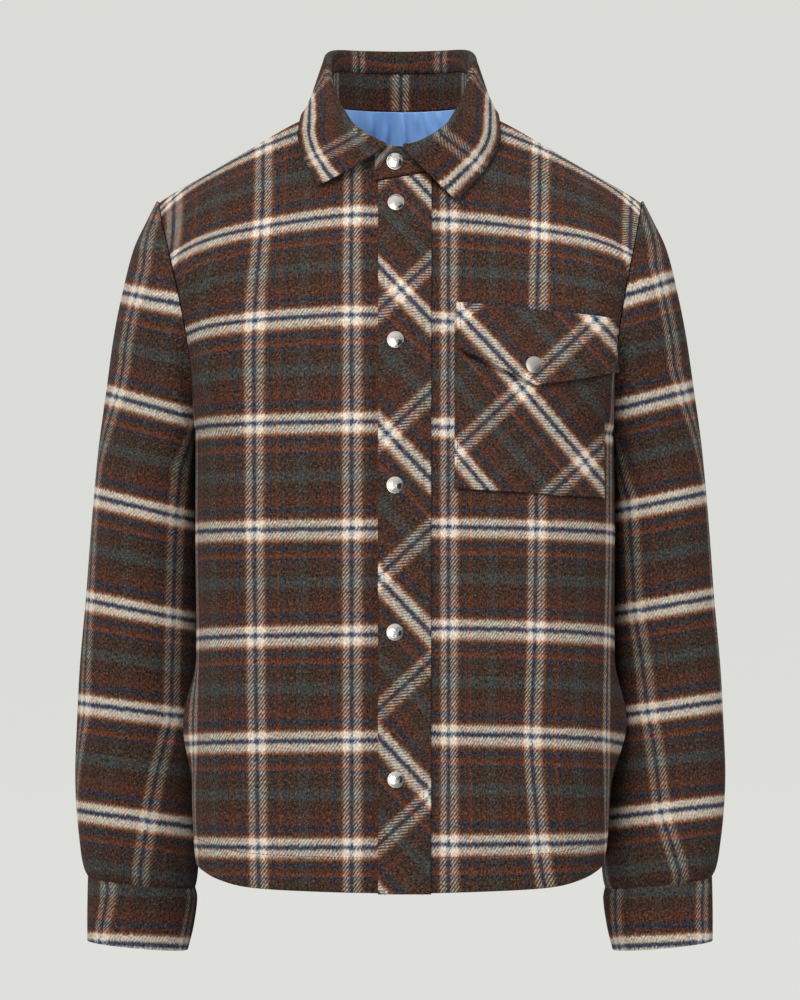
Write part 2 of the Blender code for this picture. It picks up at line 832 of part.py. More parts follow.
def stand():
    """Band from its right end, round the back of the neck, to its left end in front."""
    outer = []
    inner = []
    sweep = 360 + STAND_RIGHT_END - STAND_LEFT_END
    for r in range(STAND_ROWS + 1):
        outer_row = []
        inner_row = []
        for index in range(COLLAR_STEPS + 1):
            turned = sweep * index / COLLAR_STEPS
            angle = STAND_RIGHT_END - turned
            turn = (angle + 180) % 360 - 180
            top = smooth(NECK, abs(turn), 2)
            base = neckline(turn).z + CURVED_SEAM
            inset = STAND_TUCK * ease((angle + 50) / 30)
            in_front = turned > 270
            if in_front:
                inset = -STAND_LAP * lap_share(turn)
                base = mix((base, stand_seam(neck_ring(turn)[0])), ease((30 - turn) / 6))
            if index == COLLAR_STEPS:
                top -= STAND_CORNER
            z = mix((top, base), r / STAND_ROWS)
            forward = 0.0
            if in_front and z < neckline(turn).z:
                x, y = neck_ring(turn, inset + TWO_PLY)
                share, down, miss = on_front(x, z)
                forward = max(y - body(share, down, -1).y + STAND_CLEAR, 0.0)
            for row, depth in ((outer_row, inset), (inner_row, inset + TWO_PLY)):
                x, y = neck_ring(turn, depth)
                row.append(Vector((x, y - forward, z)))
        outer.append(outer_row)
        inner.append(inner_row)
    return add_piece("collar_stand", wall_mesh("collar_stand", outer, inner), "plaid_wool")


def edge_point(angle):
    """Outer edge of the leaf by the signed angle from the centre front."""
    table = EDGE_RIGHT if angle < 0 else EDGE_LEFT
    side = -1 if angle < 0 else 1
    turn = abs(angle)
    x = smooth(table, turn, 1)
    z = smooth(table, turn, 3)
    rear = [(row[0], row[2]) for row in table if row[2] is not None]
    if turn < rear[0][0]:
        spot, normal = front_spot(side * x, z, LEAF_LIFT)
        start = rear[0][0]
        reach = ease((turn - start + 14) / 14)
        return Vector((spot.x, mix((spot.y, smooth(rear, start, 1)), reach), spot.z))
    return Vector((side * x, smooth(rear, turn, 1), z))


def leaf_profile(angle, thickness):
    """Points from the leaf's seam inside the neck, over the roll and down to its outer edge."""
    turn = abs(angle)
    seam_z = smooth(NECK, turn, 2) + 3 * SEAM
    roll_z = smooth(NECK, turn, 3) + SEAM
    step_out = STAND_LAP * lap_share(turn)
    x, y = neck_ring(angle, TWO_PLY - step_out)
    far_x, far_y = neck_ring(angle, TWO_PLY - step_out - ROLL_WIDTH)
    edge = edge_point(angle)
    roll_radius = 0.5 * ROLL_WIDTH
    centre_z = max(roll_z - roll_radius, seam_z + SEAM)
    points = []
    for z in (seam_z, centre_z):
        part = thickness / ROLL_WIDTH
        points.append(Vector((mix((x, far_x), part), mix((y, far_y), part), z)))
    for step in range(1, ROLL_STEPS):
        sweep = math.pi * step / ROLL_STEPS
        radius = roll_radius - thickness
        part = 0.5 - (radius / ROLL_WIDTH) * math.cos(sweep)
        z = centre_z + radius * math.sin(sweep)
        points.append(Vector((mix((x, far_x), part), mix((y, far_y), part), z)))
    part = 1 - thickness / ROLL_WIDTH
    start = Vector((mix((x, far_x), part), mix((y, far_y), part), centre_z))
    outward = Vector((far_x - x, far_y - y, 0.0)).normalized()
    fall = edge - start
    under = fall.cross(Vector((-outward.y, outward.x, 0.0))).normalized()
    if under.dot(outward) > 0:
        under = -under
    for step in range(1, FALL_STEPS + 1):
        along = step / FALL_STEPS
        bow = LEAF_BOW * (1 - bell((turn - 88) / 50)) * math.sin(math.pi * along)
        base = start + (edge + under * thickness - start) * along
        point = base - under * bow
        if point.y < LEAF_LYING_Y:
            share, down, miss = on_front(point.x, point.z)
            if miss < NEARLY ** 2:
                lift = body_normal(share, down, -1) * (LEAF_LIFT - thickness)
                point.y = min(point.y, (body(share, down, -1) + lift).y)
        points.append(point)
    return points


def leaf():
    """Collar leaf from the right point, round the back of the neck, to the left point."""
    start = EDGE_RIGHT[0][0]
    end = EDGE_LEFT[0][0]
    half = COLLAR_STEPS // 2
    angles = [-mix((start, 180), (index / half) ** 1.1) for index in range(half + 1)]
    angles += [mix((end, 180), (index / half) ** 1.1) for index in range(half - 1, -1, -1)]
    outer = [leaf_profile(angle, 0.0) for angle in angles]
    inner = [leaf_profile(angle, TWO_PLY) for angle in angles]
    return add_piece("collar_leaf", wall_mesh("collar_leaf", outer, inner), "plaid_wool")


# Snaps

def snap_cap(name, x, z, lift, on_stand=False):
    """Domed cap turned about its axis and seated on the cloth."""
    mesh = bpy.data.meshes.new(name)
    points = [(out * SNAP_RADIUS, 0.0, up * SNAP_HEIGHT) for out, up in SNAP_PROFILE]
    edges = [(index, index + 1) for index in range(len(points) - 1)]
    mesh.from_pydata(points, edges, [])
    cap = add_piece(name, mesh, "polished_metal")
    turned = cap.modifiers.new("turned", "SCREW")
    turned.steps = SNAP_STEPS
    turned.render_steps = SNAP_STEPS
    turned.use_merge_vertices = True
    turned.merge_threshold = 0.00001
    if on_stand:
        turn = math.degrees(math.asin(x / NECK_HALF_WIDTH))
        place_x, place_y = neck_ring(turn, -STAND_LAP - SEAM * 2)
        point = Vector((place_x, place_y, z))
        normal = Vector((math.sin(math.radians(turn)), -1.0, 0.0)).normalized()
    else:
        point, normal = front_spot(x, z, lift)
    across = Vector((1.0, 0.0, 0.0))
    across = (across - normal * across.dot(normal)).normalized()
    upward = normal.cross(across)
    turn = Matrix((across, upward, normal)).transposed().to_4x4()
    cap.matrix_world = Matrix.Translation(point) @ turn
    return cap


# Build

for old in list(bpy.data.objects):
    bpy.data.objects.remove(old)
garment = bpy.data.collections.new("shacket")
bpy.context.scene.collection.children.link(garment)

UNDERLAP = on_front(UNDERLAP_X, CHEST_Z)[0]
OVERLAP = on_front(PLACKET_RIGHT_X + 0.0006, CHEST_Z)[0]

front_panel("front_right", -1.0, UNDERLAP, WALL + 2 * SEAM)
left_front = front_panel("front_left", OVERLAP, 1.0, 0.0)
back_panel()
for side_name, side_sign in (("right", -1), ("left", 1)):
    sleeve("sleeve_" + side_name, side_sign)
    cuff("cuff_" + side_name, side_sign)
stand()
leaf()
laid_strip("placket", left_front, placket_grid(), 2 * SEAM, TWO_PLY, "bias_plaid_wool")
laid_strip("chest_pocket", left_front, pocket_grid(), POCKET_GAP, WALL, "bias_plaid_wool")
laid_strip("pocket_flap", left_front, flap_grid(), FLAP_GAP, WALL, "bias_plaid_wool")
PLACKET_TOP = 2 * SEAM + TWO_PLY
for number, (snap_x, snap_z) in enumerate(SNAPS, 1):
    snap_cap("snap_%d" % number, snap_x, snap_z, PLACKET_TOP + 2 * SEAM, number == 1)
snap_cap("snap_pocket", POCKET_SNAP[0], POCKET_SNAP[1], FLAP_GAP + WALL + 2 * SEAM)
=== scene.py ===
# %% [markdown]
# # A plaid wool shacket, dressed
#
# A shacket is an overshirt sewn like a shirt from cloth as thick as a jacket's. Here the packed
# CAD model gives the garment's form and size, and each of its plain walls gets a fine thin shell
# of brushed plaid wool on the same form. The lesson runs in the order of a sewing room: the
# light and the camera, the tables that the pattern pieces are cut from, the cloth, and then the
# pieces one by one.

# %% The frame
import math

import bpy
import numpy as np
from mathutils import Matrix, Vector
from mathutils.bvhtree import BVHTree


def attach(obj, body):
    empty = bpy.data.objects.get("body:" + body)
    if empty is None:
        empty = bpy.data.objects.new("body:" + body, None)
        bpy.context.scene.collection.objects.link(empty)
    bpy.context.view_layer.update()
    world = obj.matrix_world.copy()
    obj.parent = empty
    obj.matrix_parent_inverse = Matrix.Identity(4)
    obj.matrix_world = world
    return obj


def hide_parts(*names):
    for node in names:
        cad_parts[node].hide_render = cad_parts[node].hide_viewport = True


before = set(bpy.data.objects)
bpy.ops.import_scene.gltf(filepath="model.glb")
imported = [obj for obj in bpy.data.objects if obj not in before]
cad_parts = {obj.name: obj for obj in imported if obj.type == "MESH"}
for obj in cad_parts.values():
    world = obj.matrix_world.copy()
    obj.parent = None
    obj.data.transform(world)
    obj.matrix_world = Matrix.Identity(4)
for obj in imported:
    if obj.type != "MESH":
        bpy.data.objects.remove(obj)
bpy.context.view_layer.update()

# %% [markdown]
# ## The camera
#
# The photograph is taken square on with a long lens, from about the height of the waist. A
# long lens is a small angle of view from far away. Its focal length is kept in pixels of the
# photograph, because then one short function says where the photograph shows any point, and
# the plaid can be laid where it is seen.

# %% Camera
PICTURE_WIDTH = 800
PICTURE_HEIGHT = 1000
CAMERA_DISTANCE = 3.7
CAMERA_Z = -0.35
FOCAL_PIXELS = 3978.5
SENSOR_HEIGHT = 24.0


def seen(points):
    """Pixel column and row at which the photograph shows points."""
    scale = FOCAL_PIXELS / (CAMERA_DISTANCE + points[..., 1])
    column = 0.5 * PICTURE_WIDTH + scale * points[..., 0]
    row = 0.5 * PICTURE_HEIGHT - scale * (points[..., 2] - CAMERA_Z)
    return column, row


def add_object(name, data):
    """Object for a mesh, a lamp or a camera, in the scene."""
    made = bpy.data.objects.new(name, data)
    bpy.context.scene.collection.objects.link(made)
    return made


camera_data = bpy.data.cameras.new("camera")
camera_data.sensor_fit = "VERTICAL"
camera_data.sensor_height = SENSOR_HEIGHT
camera_data.lens = FOCAL_PIXELS / PICTURE_HEIGHT * SENSOR_HEIGHT
camera_data.clip_end = 60
camera = add_object("camera", camera_data)
camera.location = (0, -CAMERA_DISTANCE, CAMERA_Z)
camera.rotation_euler = (math.radians(90), 0, 0)
bpy.context.scene.camera = camera
print("lens", round(camera_data.lens, 1), "mm")

# %% [markdown]
# ## Tables of sizes
#
# A pattern cutter keeps a table of measures. These are the same tables that the CAD model is
# built from, so the fine surfaces lie on the plain ones. All lengths are in metres, and a share
# is a part of the way from the centre line to the side seam.

# %% Sizes
WALL = 0.0024
TWO_PLY = 0.0030
SEAM = 0.0003
CURVED_SEAM = 0.00045
LINING = 0.0010
LINING_GAP = 0.0005
SECTION_POWER = 2.9
SLEEVE_POWER = 2.2
CHEST_Z = -0.360
UNDERARM_Z = -0.285
UNDERARM_SHARE = 0.80
SHOULDER_Z = -0.0735
SHOULDER_SLOPE = 0.54
ARMHOLE_FRONT = 0.080
ARMHOLE_BACK = 0.077
NECK_HALF_WIDTH = 0.066
NECK_HALF_DEPTH = 0.0815
NECK_CENTRE_Y = -0.0135
NECK_SHARE = 0.36
STAND_SEAM_Z = -0.0562
STAND_SEAM_SLOPE = 0.184
HEM_FRONT_Z = -0.7037
HEM_BACK_Z = -0.7120
HEM_SIDE_RISE = 0.0211
DROP_POWER = 2.0
ARMHOLE_HOLD = 1.7
CORNER_REACH = 0.16
CORNER_DEPTH = 0.22
UNDERLAP_X = 0.0200
SUNK_SHARE = 0.06
PLACKET_RIGHT_X = -0.0197
PLACKET_LEFT_X = 0.0278
PLACKET_DROP = 0.0020
PANEL_REACH = 0.27
POCKET_MOUTH_Z = -0.556
POCKET_MOUTH_HALF = 0.062
POCKET_SWELL = 0.0105
POCKET_SHARE = 0.93
POCKET_REACH = 0.14
print("wall", WALL, "two plies", TWO_PLY, "seam gap", SEAM)

# %% Tables
# z, half width on the right, half width on the left, depth in front, depth behind
BODY = (
    (-0.270, 0.1915, 0.1985, 0.1380, 0.1390),
    (-0.331, 0.1897, 0.1980, 0.1390, 0.1390),
    (-0.420, 0.1893, 0.1986, 0.1370, 0.1380),
    (-0.500, 0.1893, 0.1990, 0.1355, 0.1370),
    (-0.560, 0.1910, 0.1995, 0.1345, 0.1360),
    (-0.620, 0.1930, 0.1950, 0.1330, 0.1350),
    (-0.660, 0.1912, 0.1925, 0.1320, 0.1340),
    (-0.690, 0.1888, 0.1890, 0.1310, 0.1330),
    (-0.730, 0.1865, 0.1870, 0.1300, 0.1320),
)
# share from the centre line to the side seam, part of the hem's rise
HEM = ((0.00, 0.00), (0.33, 0.10), (0.48, 0.16), (0.56, 0.24), (0.65, 0.43), (0.78, 0.74), (1.00, 1.00))
# z, y
CENTRE_FRONT = (
    (-0.360, -0.1390),
    (-0.300, -0.1385),
    (-0.240, -0.1345),
    (-0.160, -0.1215),
    (-0.100, -0.1065),
    (-0.057, -0.0950),
)
CENTRE_BACK = (
    (-0.360, 0.1385),
    (-0.280, 0.1395),
    (-0.180, 0.1345),
    (-0.100, 0.1190),
    (-0.040, 0.0975),
    (0.000, 0.0780),
    (0.0184, 0.0680),
)
# share, x, z
SHOULDER = (
    (0.00, 0.0660, 0.0120),
    (0.20, 0.0967, 0.0000),
    (0.48, 0.1420, -0.0255),
    (0.78, 0.1880, -0.0520),
    (1.00, 0.2235, -0.0735),
)
# z, x
ARMHOLE = (
    (-0.285, 0.1912),
    (-0.255, 0.1905),
    (-0.220, 0.1925),
    (-0.180, 0.1985),
    (-0.130, 0.2095),
    (-0.100, 0.2170),
    (-0.0735, 0.2235),
)
# angle from the centre front, neckline, top of the stand, roll
NECK = (
    (0.0, -0.0573, -0.0337, -0.0280),
    (13.0, -0.0535, -0.0308, -0.0252),
    (35.0, -0.0350, -0.0155, -0.0095),
    (50.0, -0.0195, 0.0005, 0.0056),
    (66.0, -0.0050, 0.0180, 0.0245),
    (82.0, 0.0080, 0.0350, 0.0450),
    (90.0, 0.0120, 0.0400, 0.0545),
    (102.0, 0.0150, 0.0460, 0.0660),
    (120.0, 0.0170, 0.0505, 0.0715),
    (150.0, 0.0181, 0.0520, 0.0738),
    (180.0, 0.0184, 0.0525, 0.0743),
)
print("body rows", len(BODY), "neck rows", len(NECK))

# %% [markdown]
# ## Curves and blends
#
# `smooth` reads a column of a table along a curve through its rows, which `through` works out
# from each row and its neighbours. It takes whole arrays, because numpy reads thousands of
# points in the time that a loop takes for a few. The others are the shapes that a crease or an
# edge fades with.

# %% Curves
def through(keys, values, at):
    """Smooth curve through values at rising keys, read at places along it."""
    def widen(numbers):
        return numbers.reshape(numbers.shape + (1,) * (values.ndim - 1))

    slopes = np.empty_like(values)
    slopes[1:-1] = (values[2:] - values[:-2]) / widen(keys[2:] - keys[:-2])
    slopes[0] = (values[1] - values[0]) / (keys[1] - keys[0])
    slopes[-1] = (values[-1] - values[-2]) / (keys[-1] - keys[-2])
    place = np.clip(np.searchsorted(keys, at) - 1, 0, len(keys) - 2)
    span = widen(keys[place + 1] - keys[place])
    u = widen((at - keys[place]) / (keys[place + 1] - keys[place]))
    start = values[place] * (1 + 2 * u) + slopes[place] * span * u
    end = values[place + 1] * (3 - 2 * u) - slopes[place + 1] * span * (1 - u)
    return start * (1 - u) ** 2 + end * u ** 2


def smooth(table, at, column):
    """Read a column of a table at values of its first column, along a smooth curve."""
    rows = sorted(table)
    keys = np.array([row[0] for row in rows], float)
    values = np.array([row[column] for row in rows], float)
    return through(keys, values, np.clip(np.asarray(at, float), keys[0], keys[-1]))


def ease(u):
    """Rise from 0 to 1 with level ends."""
    u = np.clip(u, 0.0, 1.0)
    return u * u * (3 - 2 * u)


def mix(low, high, part):
    """Value between two."""
    return low + (high - low) * part


def bell(u):
    """Stand at 1 for 0 and fall to 0 at -1 and 1."""
    return np.where(np.abs(u) < 1, np.cos(0.5 * math.pi * np.clip(u, -1, 1)) ** 2, 0.0)


def power(value, exponent):
    """Raise the size of a value to a power and keep its sign."""
    return np.sign(value) * np.abs(value) ** exponent


def spot(x, y, z):
    """Join three coordinates into points."""
    return np.stack(np.broadcast_arrays(x, y, z), axis=-1).astype(float)


print("neckline at 60 degrees", round(float(smooth(NECK, 60.0, 1)), 4))

# %% [markdown]
# ## The body's form
#
# The body is one hollow round. `share` runs from 0 on the centre line to 1 at the side seam,
# and `down` from 0 at the top edge through 1 at the chest to 2 at the hem. Below the chest each
# level is a squared round. Above it the surface is blended from its four edges: the centre
# line, the neckline with the shoulder seam, the armhole and the chest row.

# %% Levels of the body
ARC_STEPS = 400
QUARTER_ANGLES = np.linspace(0, 0.5 * math.pi, ARC_STEPS + 1)


def quarter_shares():
    """How far along a quarter of the round each even step of angle lies, from 0 to 1."""
    x = BODY[2][1] * np.sin(QUARTER_ANGLES) ** (2 / SECTION_POWER)
    y = BODY[2][3] * np.clip(np.cos(QUARTER_ANGLES), 0, 1) ** (2 / SECTION_POWER)
    lengths = np.concatenate([[0.0], np.cumsum(np.hypot(np.diff(x), np.diff(y)))])
    return lengths / lengths[-1]


QUARTER_SHARES = quarter_shares()


def half_width(z, side):
    """Half width of the body at the side seam; side is -1 on the wearer's right."""
    return np.where(np.asarray(side) < 0, smooth(BODY, z, 1), smooth(BODY, z, 2))


def section(z, share, side, face):
    """Points on the body's round; face is -1 in front and 1 behind."""
    angle = np.interp(share, QUARTER_SHARES, QUARTER_ANGLES)
    depth = smooth(BODY, z, 3 if face < 0 else 4)
    x = side * half_width(z, side) * np.sin(angle) ** (2 / SECTION_POWER)
    y = face * depth * np.clip(np.cos(angle), 0, 1) ** (2 / SECTION_POWER)
    return spot(x, y, z)


def side_reach(z, y, side):
    """How far out the body's side lies at a height and a depth."""
    back_share = y / smooth(BODY, z, 4)
    return half_width(z, side) * (1 - back_share ** SECTION_POWER) ** (1 / SECTION_POWER)


print("half widths at the chest", [round(float(half_width(CHEST_Z, side)), 4) for side in (-1, 1)])

# %% Edges of the upper body
def neck_ring(angle, inset=0.0):
    """Place round the neck in plan, by the signed angle from the centre front."""
    turn = np.radians(angle)
    x = (NECK_HALF_WIDTH - inset) * np.sin(turn)
    y = NECK_CENTRE_Y - (NECK_HALF_DEPTH - inset) * np.cos(turn)
    return x, y


def top_edge(share, side, face):
    """Neckline, then shoulder seam, from the centre line out to the sleeve head."""
    turn = 90 * np.minimum(share / NECK_SHARE, 1.0)
    angle = side * (turn if face < 0 else 180 - turn)
    x, y = neck_ring(angle)
    neck = spot(x, y, smooth(NECK, np.abs(angle), 1))
    along = np.clip((share - NECK_SHARE) / (1 - NECK_SHARE), 0, 1)
    rise = smooth(SHOULDER, along, 2)
    shoulder = spot(side * smooth(SHOULDER, along, 1), NECK_CENTRE_Y * (1 - along), rise)
    return np.where((share <= NECK_SHARE)[..., None], neck, shoulder)


def armhole(turn, side, face):
    """Points on the armhole seam; turn runs from 0 at the shoulder to 1 at the underarm."""
    angle = math.pi * np.clip(turn, 0, 1)
    z = mix(SHOULDER_Z, UNDERARM_Z, 0.5 - 0.5 * np.cos(angle))
    swing = np.where(np.asarray(face) < 0, ARMHOLE_FRONT, ARMHOLE_BACK)
    y = face * swing * np.clip(np.sin(angle), 0, 1) ** 0.92
    widen = (half_width(UNDERARM_Z, side) - half_width(UNDERARM_Z, -1)) * ease(turn)
    return spot(side * (smooth(ARMHOLE, z, 1) + widen), y, z)


def outer_edge(down, side, face):
    """Armhole seam, then the top of the side seam, down to the chest row."""
    hole = armhole(down / UNDERARM_SHARE, side, face)
    z = mix(UNDERARM_Z, CHEST_Z, (down - UNDERARM_SHARE) / (1 - UNDERARM_SHARE))
    below = spot(side * half_width(z, side), 0.0, z)
    return np.where((down <= UNDERARM_SHARE)[..., None], hole, below)


def centre_edge(down, face):
    """Centre line from the neck down to the chest row."""
    top = NECK[0][1] if face < 0 else NECK[-1][1]
    z = mix(top, CHEST_Z, down)
    return spot(0.0, smooth(CENTRE_FRONT if face < 0 else CENTRE_BACK, z, 1), z)


print("underarm", np.round(armhole(1.0, 1, -1), 4).tolist())

# %% Body
def soft_top_edge(share, down, side, face):
    """The top edge, whose corner at the neck point is rounded off a little way down."""
    reach = np.clip(np.minimum(share, 1 - share), 0, CORNER_REACH)
    total = sum(top_edge(share + reach * step / 3, side, face) for step in range(-3, 4))
    part = ease(down / CORNER_DEPTH)[..., None]
    return mix(top_edge(share, side, face), total / 7, part)


def upper_body(share, down, side, face):
    """Blend the four edges of the upper panel."""
    across = (ease(share) ** ARMHOLE_HOLD)[..., None]
    drop = (1 - (1 - down) ** DROP_POWER)[..., None]
    zero = np.zeros_like(down)
    sides = mix(centre_edge(down, face), outer_edge(down, side, face), across)
    ends = mix(soft_top_edge(share, down, side, face), section(CHEST_Z, share, side, face), drop)
    top = mix(centre_edge(zero, face), outer_edge(zero, side, face), across)
    low = mix(centre_edge(zero + 1, face), outer_edge(zero + 1, side, face), across)
    return sides + ends - mix(top, low, drop)


def body(share, down, face):
    """Points on the outside of the body, for arrays of signed share and of down."""
    share, down = np.broadcast_arrays(np.asarray(share, float), np.asarray(down, float))
    side = np.where(share < 0, -1.0, 1.0)
    share = np.abs(share)
    upper = upper_body(share, np.minimum(down, 1.0), side, face)
    level = HEM_FRONT_Z if face < 0 else HEM_BACK_Z
    hem = mix(level, HEM_FRONT_Z + HEM_SIDE_RISE, smooth(HEM, share, 1))
    z = mix(CHEST_Z, hem, np.clip(down - 1, 0, 1))
    lower = section(z, share, side, face)
    if face < 0:
        reach = np.where(share < POCKET_SHARE, POCKET_REACH, 0.5 * POCKET_REACH)
        along = bell((z - POCKET_MOUTH_Z) / POCKET_MOUTH_HALF)
        lower[..., 0] += side * POCKET_SWELL * along * bell((share - POCKET_SHARE) / reach)
    return np.where((down <= 1)[..., None], upper, lower)


check = body(np.array([0.0, 0.5, 1.0]), np.array([1.0, 1.0, 2.0]), -1)
print("points on the front", np.round(check, 4).tolist())

# %% [markdown]
# ## Shells of cloth
#
# Every piece of cloth is a grid of points on its outside and another on its inside, closed all
# round by a rim that bulges a little, because thick wool turns its cut edge round. Close rows
# of points near the edges let the surface roll over softly. A second map, named `cloth`, holds
# where each point lies on the flat cloth, in metres, and the plaid is woven from it.

# %% Grids
EDGE_ROUND = 0.0011


def places(start, end, count, edge):
    """Even places with closer ones within an edge's width of both ends."""
    even = np.linspace(start, end, count + 1)
    inside = even[(even > start + 1.3 * edge) & (even < end - 1.3 * edge)]
    near = edge * np.array([0.0, 0.2, 0.5, 1.0])
    return np.concatenate([start + near, inside, (end - near)[::-1]])


def unit(vectors):
    """Vectors brought to length one."""
    return vectors / np.maximum(np.linalg.norm(vectors, axis=-1, keepdims=True), 1e-12)


def facing(points, toward):
    """Outward directions over a grid; toward is 1 or -1 for the way its rows and columns run."""
    across = np.gradient(points, axis=1)
    along = np.gradient(points, axis=0)
    return unit(np.cross(across, along) * toward)


def tube_facing(points, toward):
    """The same over a tube, whose last column lies on its first."""
    wide = np.concatenate([points[:, -3:-1], points, points[:, 1:3]], axis=1)
    return facing(wide, toward)[:, 2:-2]


def edge_distances(points):
    """How far each point lies from the grid's top, bottom, left and right edge."""
    rows = np.linalg.norm(np.diff(points, axis=0), axis=-1)
    columns = np.linalg.norm(np.diff(points, axis=1), axis=-1)
    top = np.pad(np.cumsum(rows, axis=0), ((1, 0), (0, 0)))
    left = np.pad(np.cumsum(columns, axis=1), ((0, 0), (1, 0)))
    return top, top[-1:] - top, left, left[:, -1:] - left


def rolled(distance, radius=EDGE_ROUND):
    """How far the surface has sunk this near to a cut edge."""
    near = np.clip(1 - distance / radius, 0, 1)
    return radius * (1 - np.sqrt(1 - near ** 2))


def pressed(distance, depth, width):
    """Depth of a soft groove at a distance from its middle."""
    return depth * np.exp(-(distance / width) ** 2)


print("rows near an edge", np.round(places(0.0, 1.0, 8, 0.05), 2).tolist())

# %% Shell
RIM_BULGE = 0.15


def rim_loop(rows, columns):
    """Grid places once round an open grid's edge."""
    top = [(0, c) for c in range(columns - 1)]
    right = [(r, columns - 1) for r in range(rows - 1)]
    bottom = [(rows - 1, c) for c in range(columns - 1, 0, -1)]
    left = [(r, 0) for r in range(rows - 1, 0, -1)]
    return top + right + bottom + left


def quads(first, second):
    """Faces between two closed loops of numbers."""
    return np.stack([first, np.roll(first, -1), np.roll(second, -1), second], axis=1)


def away_from(points, r, c, step):
    """Unit steps out of a grid at its places, against a step into it."""
    next_row = np.clip(r + step[0], 0, points.shape[0] - 1)
    next_column = np.clip(c + step[1], 0, points.shape[1] - 1)
    return unit(points[r, c] - points[next_row, next_column])


def corners(numbers):
    """The four numbers round each face of a grid."""
    around = [numbers[:-1, :-1], numbers[1:, :-1], numbers[1:, 1:], numbers[:-1, 1:]]
    return np.stack(around, axis=-1).reshape(-1, 4)


def shell(name, outer, inner, cloth, finish, closed=False):
    """Mesh of a cloth wall from its outer and inner grid; cloth is its place on the flat cloth."""
    rows, wide = outer.shape[:2]
    columns = wide - 1 if closed else wide
    count = rows * columns
    number = np.arange(count).reshape(rows, columns)
    if closed:
        number = np.concatenate([number, number[:, :1]], axis=1)
    chart = np.arange(rows * wide).reshape(rows, wide)
    faces = [corners(number), corners(number)[:, ::-1] + count]
    maps = [corners(chart), corners(chart)[:, ::-1]]
    points = [outer[:, :columns].reshape(-1, 3), inner[:, :columns].reshape(-1, 3)]
    middle = 0.5 * (outer + inner)
    thick = np.linalg.norm(outer - inner, axis=-1)
    if closed:
        loops = [[(0, c) for c in range(columns)], [(rows - 1, c) for c in range(columns - 1, -1, -1)]]
    else:
        loops = [rim_loop(rows, wide)]
    for loop in loops:
        r, c = np.array(loop).T
        edges = [(r == 0, (1, 0)), (r == rows - 1, (-1, 0))]
        if not closed:
            edges += [(c == 0, (0, 1)), (c == wide - 1, (0, -1))]
        out = unit(sum(at[:, None] * away_from(middle, r, c, step) for at, step in edges))
        base = sum(len(group) for group in points)
        points.append(middle[r, c] + out * (RIM_BULGE * thick[r, c])[:, None])
        ring = base + np.arange(len(loop))
        shown = number[r, c]
        hidden = shown + count
        faces += [quads(shown, ring), quads(ring, hidden)]
        chart_ring = chart[r, c]
        maps += [quads(chart_ring, chart_ring)] * 2
    points = np.concatenate(points)
    faces = np.concatenate(faces)
    maps = np.concatenate(maps)
    corner = points[faces]
    volume = np.einsum("ij,ij->i", corner[:, 0], np.cross(corner[:, 1], corner[:, 2])).sum()
    volume += np.einsum("ij,ij->i", corner[:, 0], np.cross(corner[:, 2], corner[:, 3])).sum()
    if volume < 0:
        faces = faces[:, ::-1]
        maps = maps[:, ::-1]
    mesh = bpy.data.meshes.new(name)
    mesh.from_pydata(points.tolist(), [], faces.tolist())
    layer = mesh.uv_layers.new(name="cloth")
    layer.data.foreach_set("uv", cloth.reshape(-1, 2)[maps.reshape(-1)].reshape(-1))
    mesh.shade_smooth()
    mesh.materials.append(finish)
    print(name, "triangles", 2 * len(faces))
    return add_object(name, mesh)


print("rim bulge", RIM_BULGE, "of the thickness")

# %% Sheets
def declare(piece, node):
    """Hang a cloth on the root and hide the CAD part that it stands for."""
    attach(piece, "root")
    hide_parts(node)


# %% [markdown]
# ## The plaid
#
# A tartan is one row of coloured yarns, the sett, used in both directions. Where a warp yarn
# and a weft yarn cross, the twill shows now one and now the other, in fine slanting lines. So
# the shader reads the sett twice, once across and once down the cloth, and a slanting wave
# picks between the two. Brushing raises a nap that blurs the stripes along the warp, which a
# noise stretched that way does by moving the place where the sett is read. The nap hides dark
# yarn under pale yarn more than the other way round, so the paler of the two gets more of the
# mix. The collar leaf, the sleeves and the cuffs are brushed harder, so their upright stripes
# are weaker, and they get a second cloth.

# %% Sett
SETT = 0.0947              # one repeat of the stripes
SETT_PIXELS = 106.6        # the same in the photograph, at the front
YARNS = {
    "blue": (40, 57, 76),
    "navy": (28, 36, 45),
    "cream": (194, 183, 166),
    "fringe": (128, 86, 62),
    "brown": (56, 39, 28),
    "dark_rust": (58, 37, 27),
    "rust": (84, 46, 30),
    "olive": (44, 36, 28),
    "teal": (46, 53, 51),
    "olive_brown": (46, 34, 26),
    "rust_brown": (62, 37, 26),
}
# first and last pixel of each stripe from the middle of the cream one, and its yarn
STRIPES = (
    (0.0, 1.4, "blue"),
    (4.1, 8.2, "cream"),
    (11.3, 11.3, "fringe"),
    (14.0, 15.4, "brown"),
    (17.0, 19.8, "navy"),
    (21.4, 24.4, "dark_rust"),
    (26.2, 28.6, "rust"),
    (29.9, 31.8, "navy"),
    (33.6, 46.5, "olive"),
    (49.0, 58.0, "teal"),
    (60.5, 71.0, "olive_brown"),
    (74.5, 82.6, "rust_brown"),
    (86.2, 89.4, "navy"),
    (91.0, 94.4, "dark_rust"),
    (96.9, 96.9, "fringe"),
    (98.6, 102.5, "cream"),
    (105.2, 106.6, "blue"),
)
print("stripes", len(STRIPES), "yarns", len(YARNS))

# %% Node helpers
def linear(colour):
    """Turn a colour as seen on a screen into the shader's scale."""
    parts = [value / 255 for value in colour]
    return tuple(p / 12.92 if p <= 0.04045 else ((p + 0.055) / 1.055) ** 2.4 for p in parts)


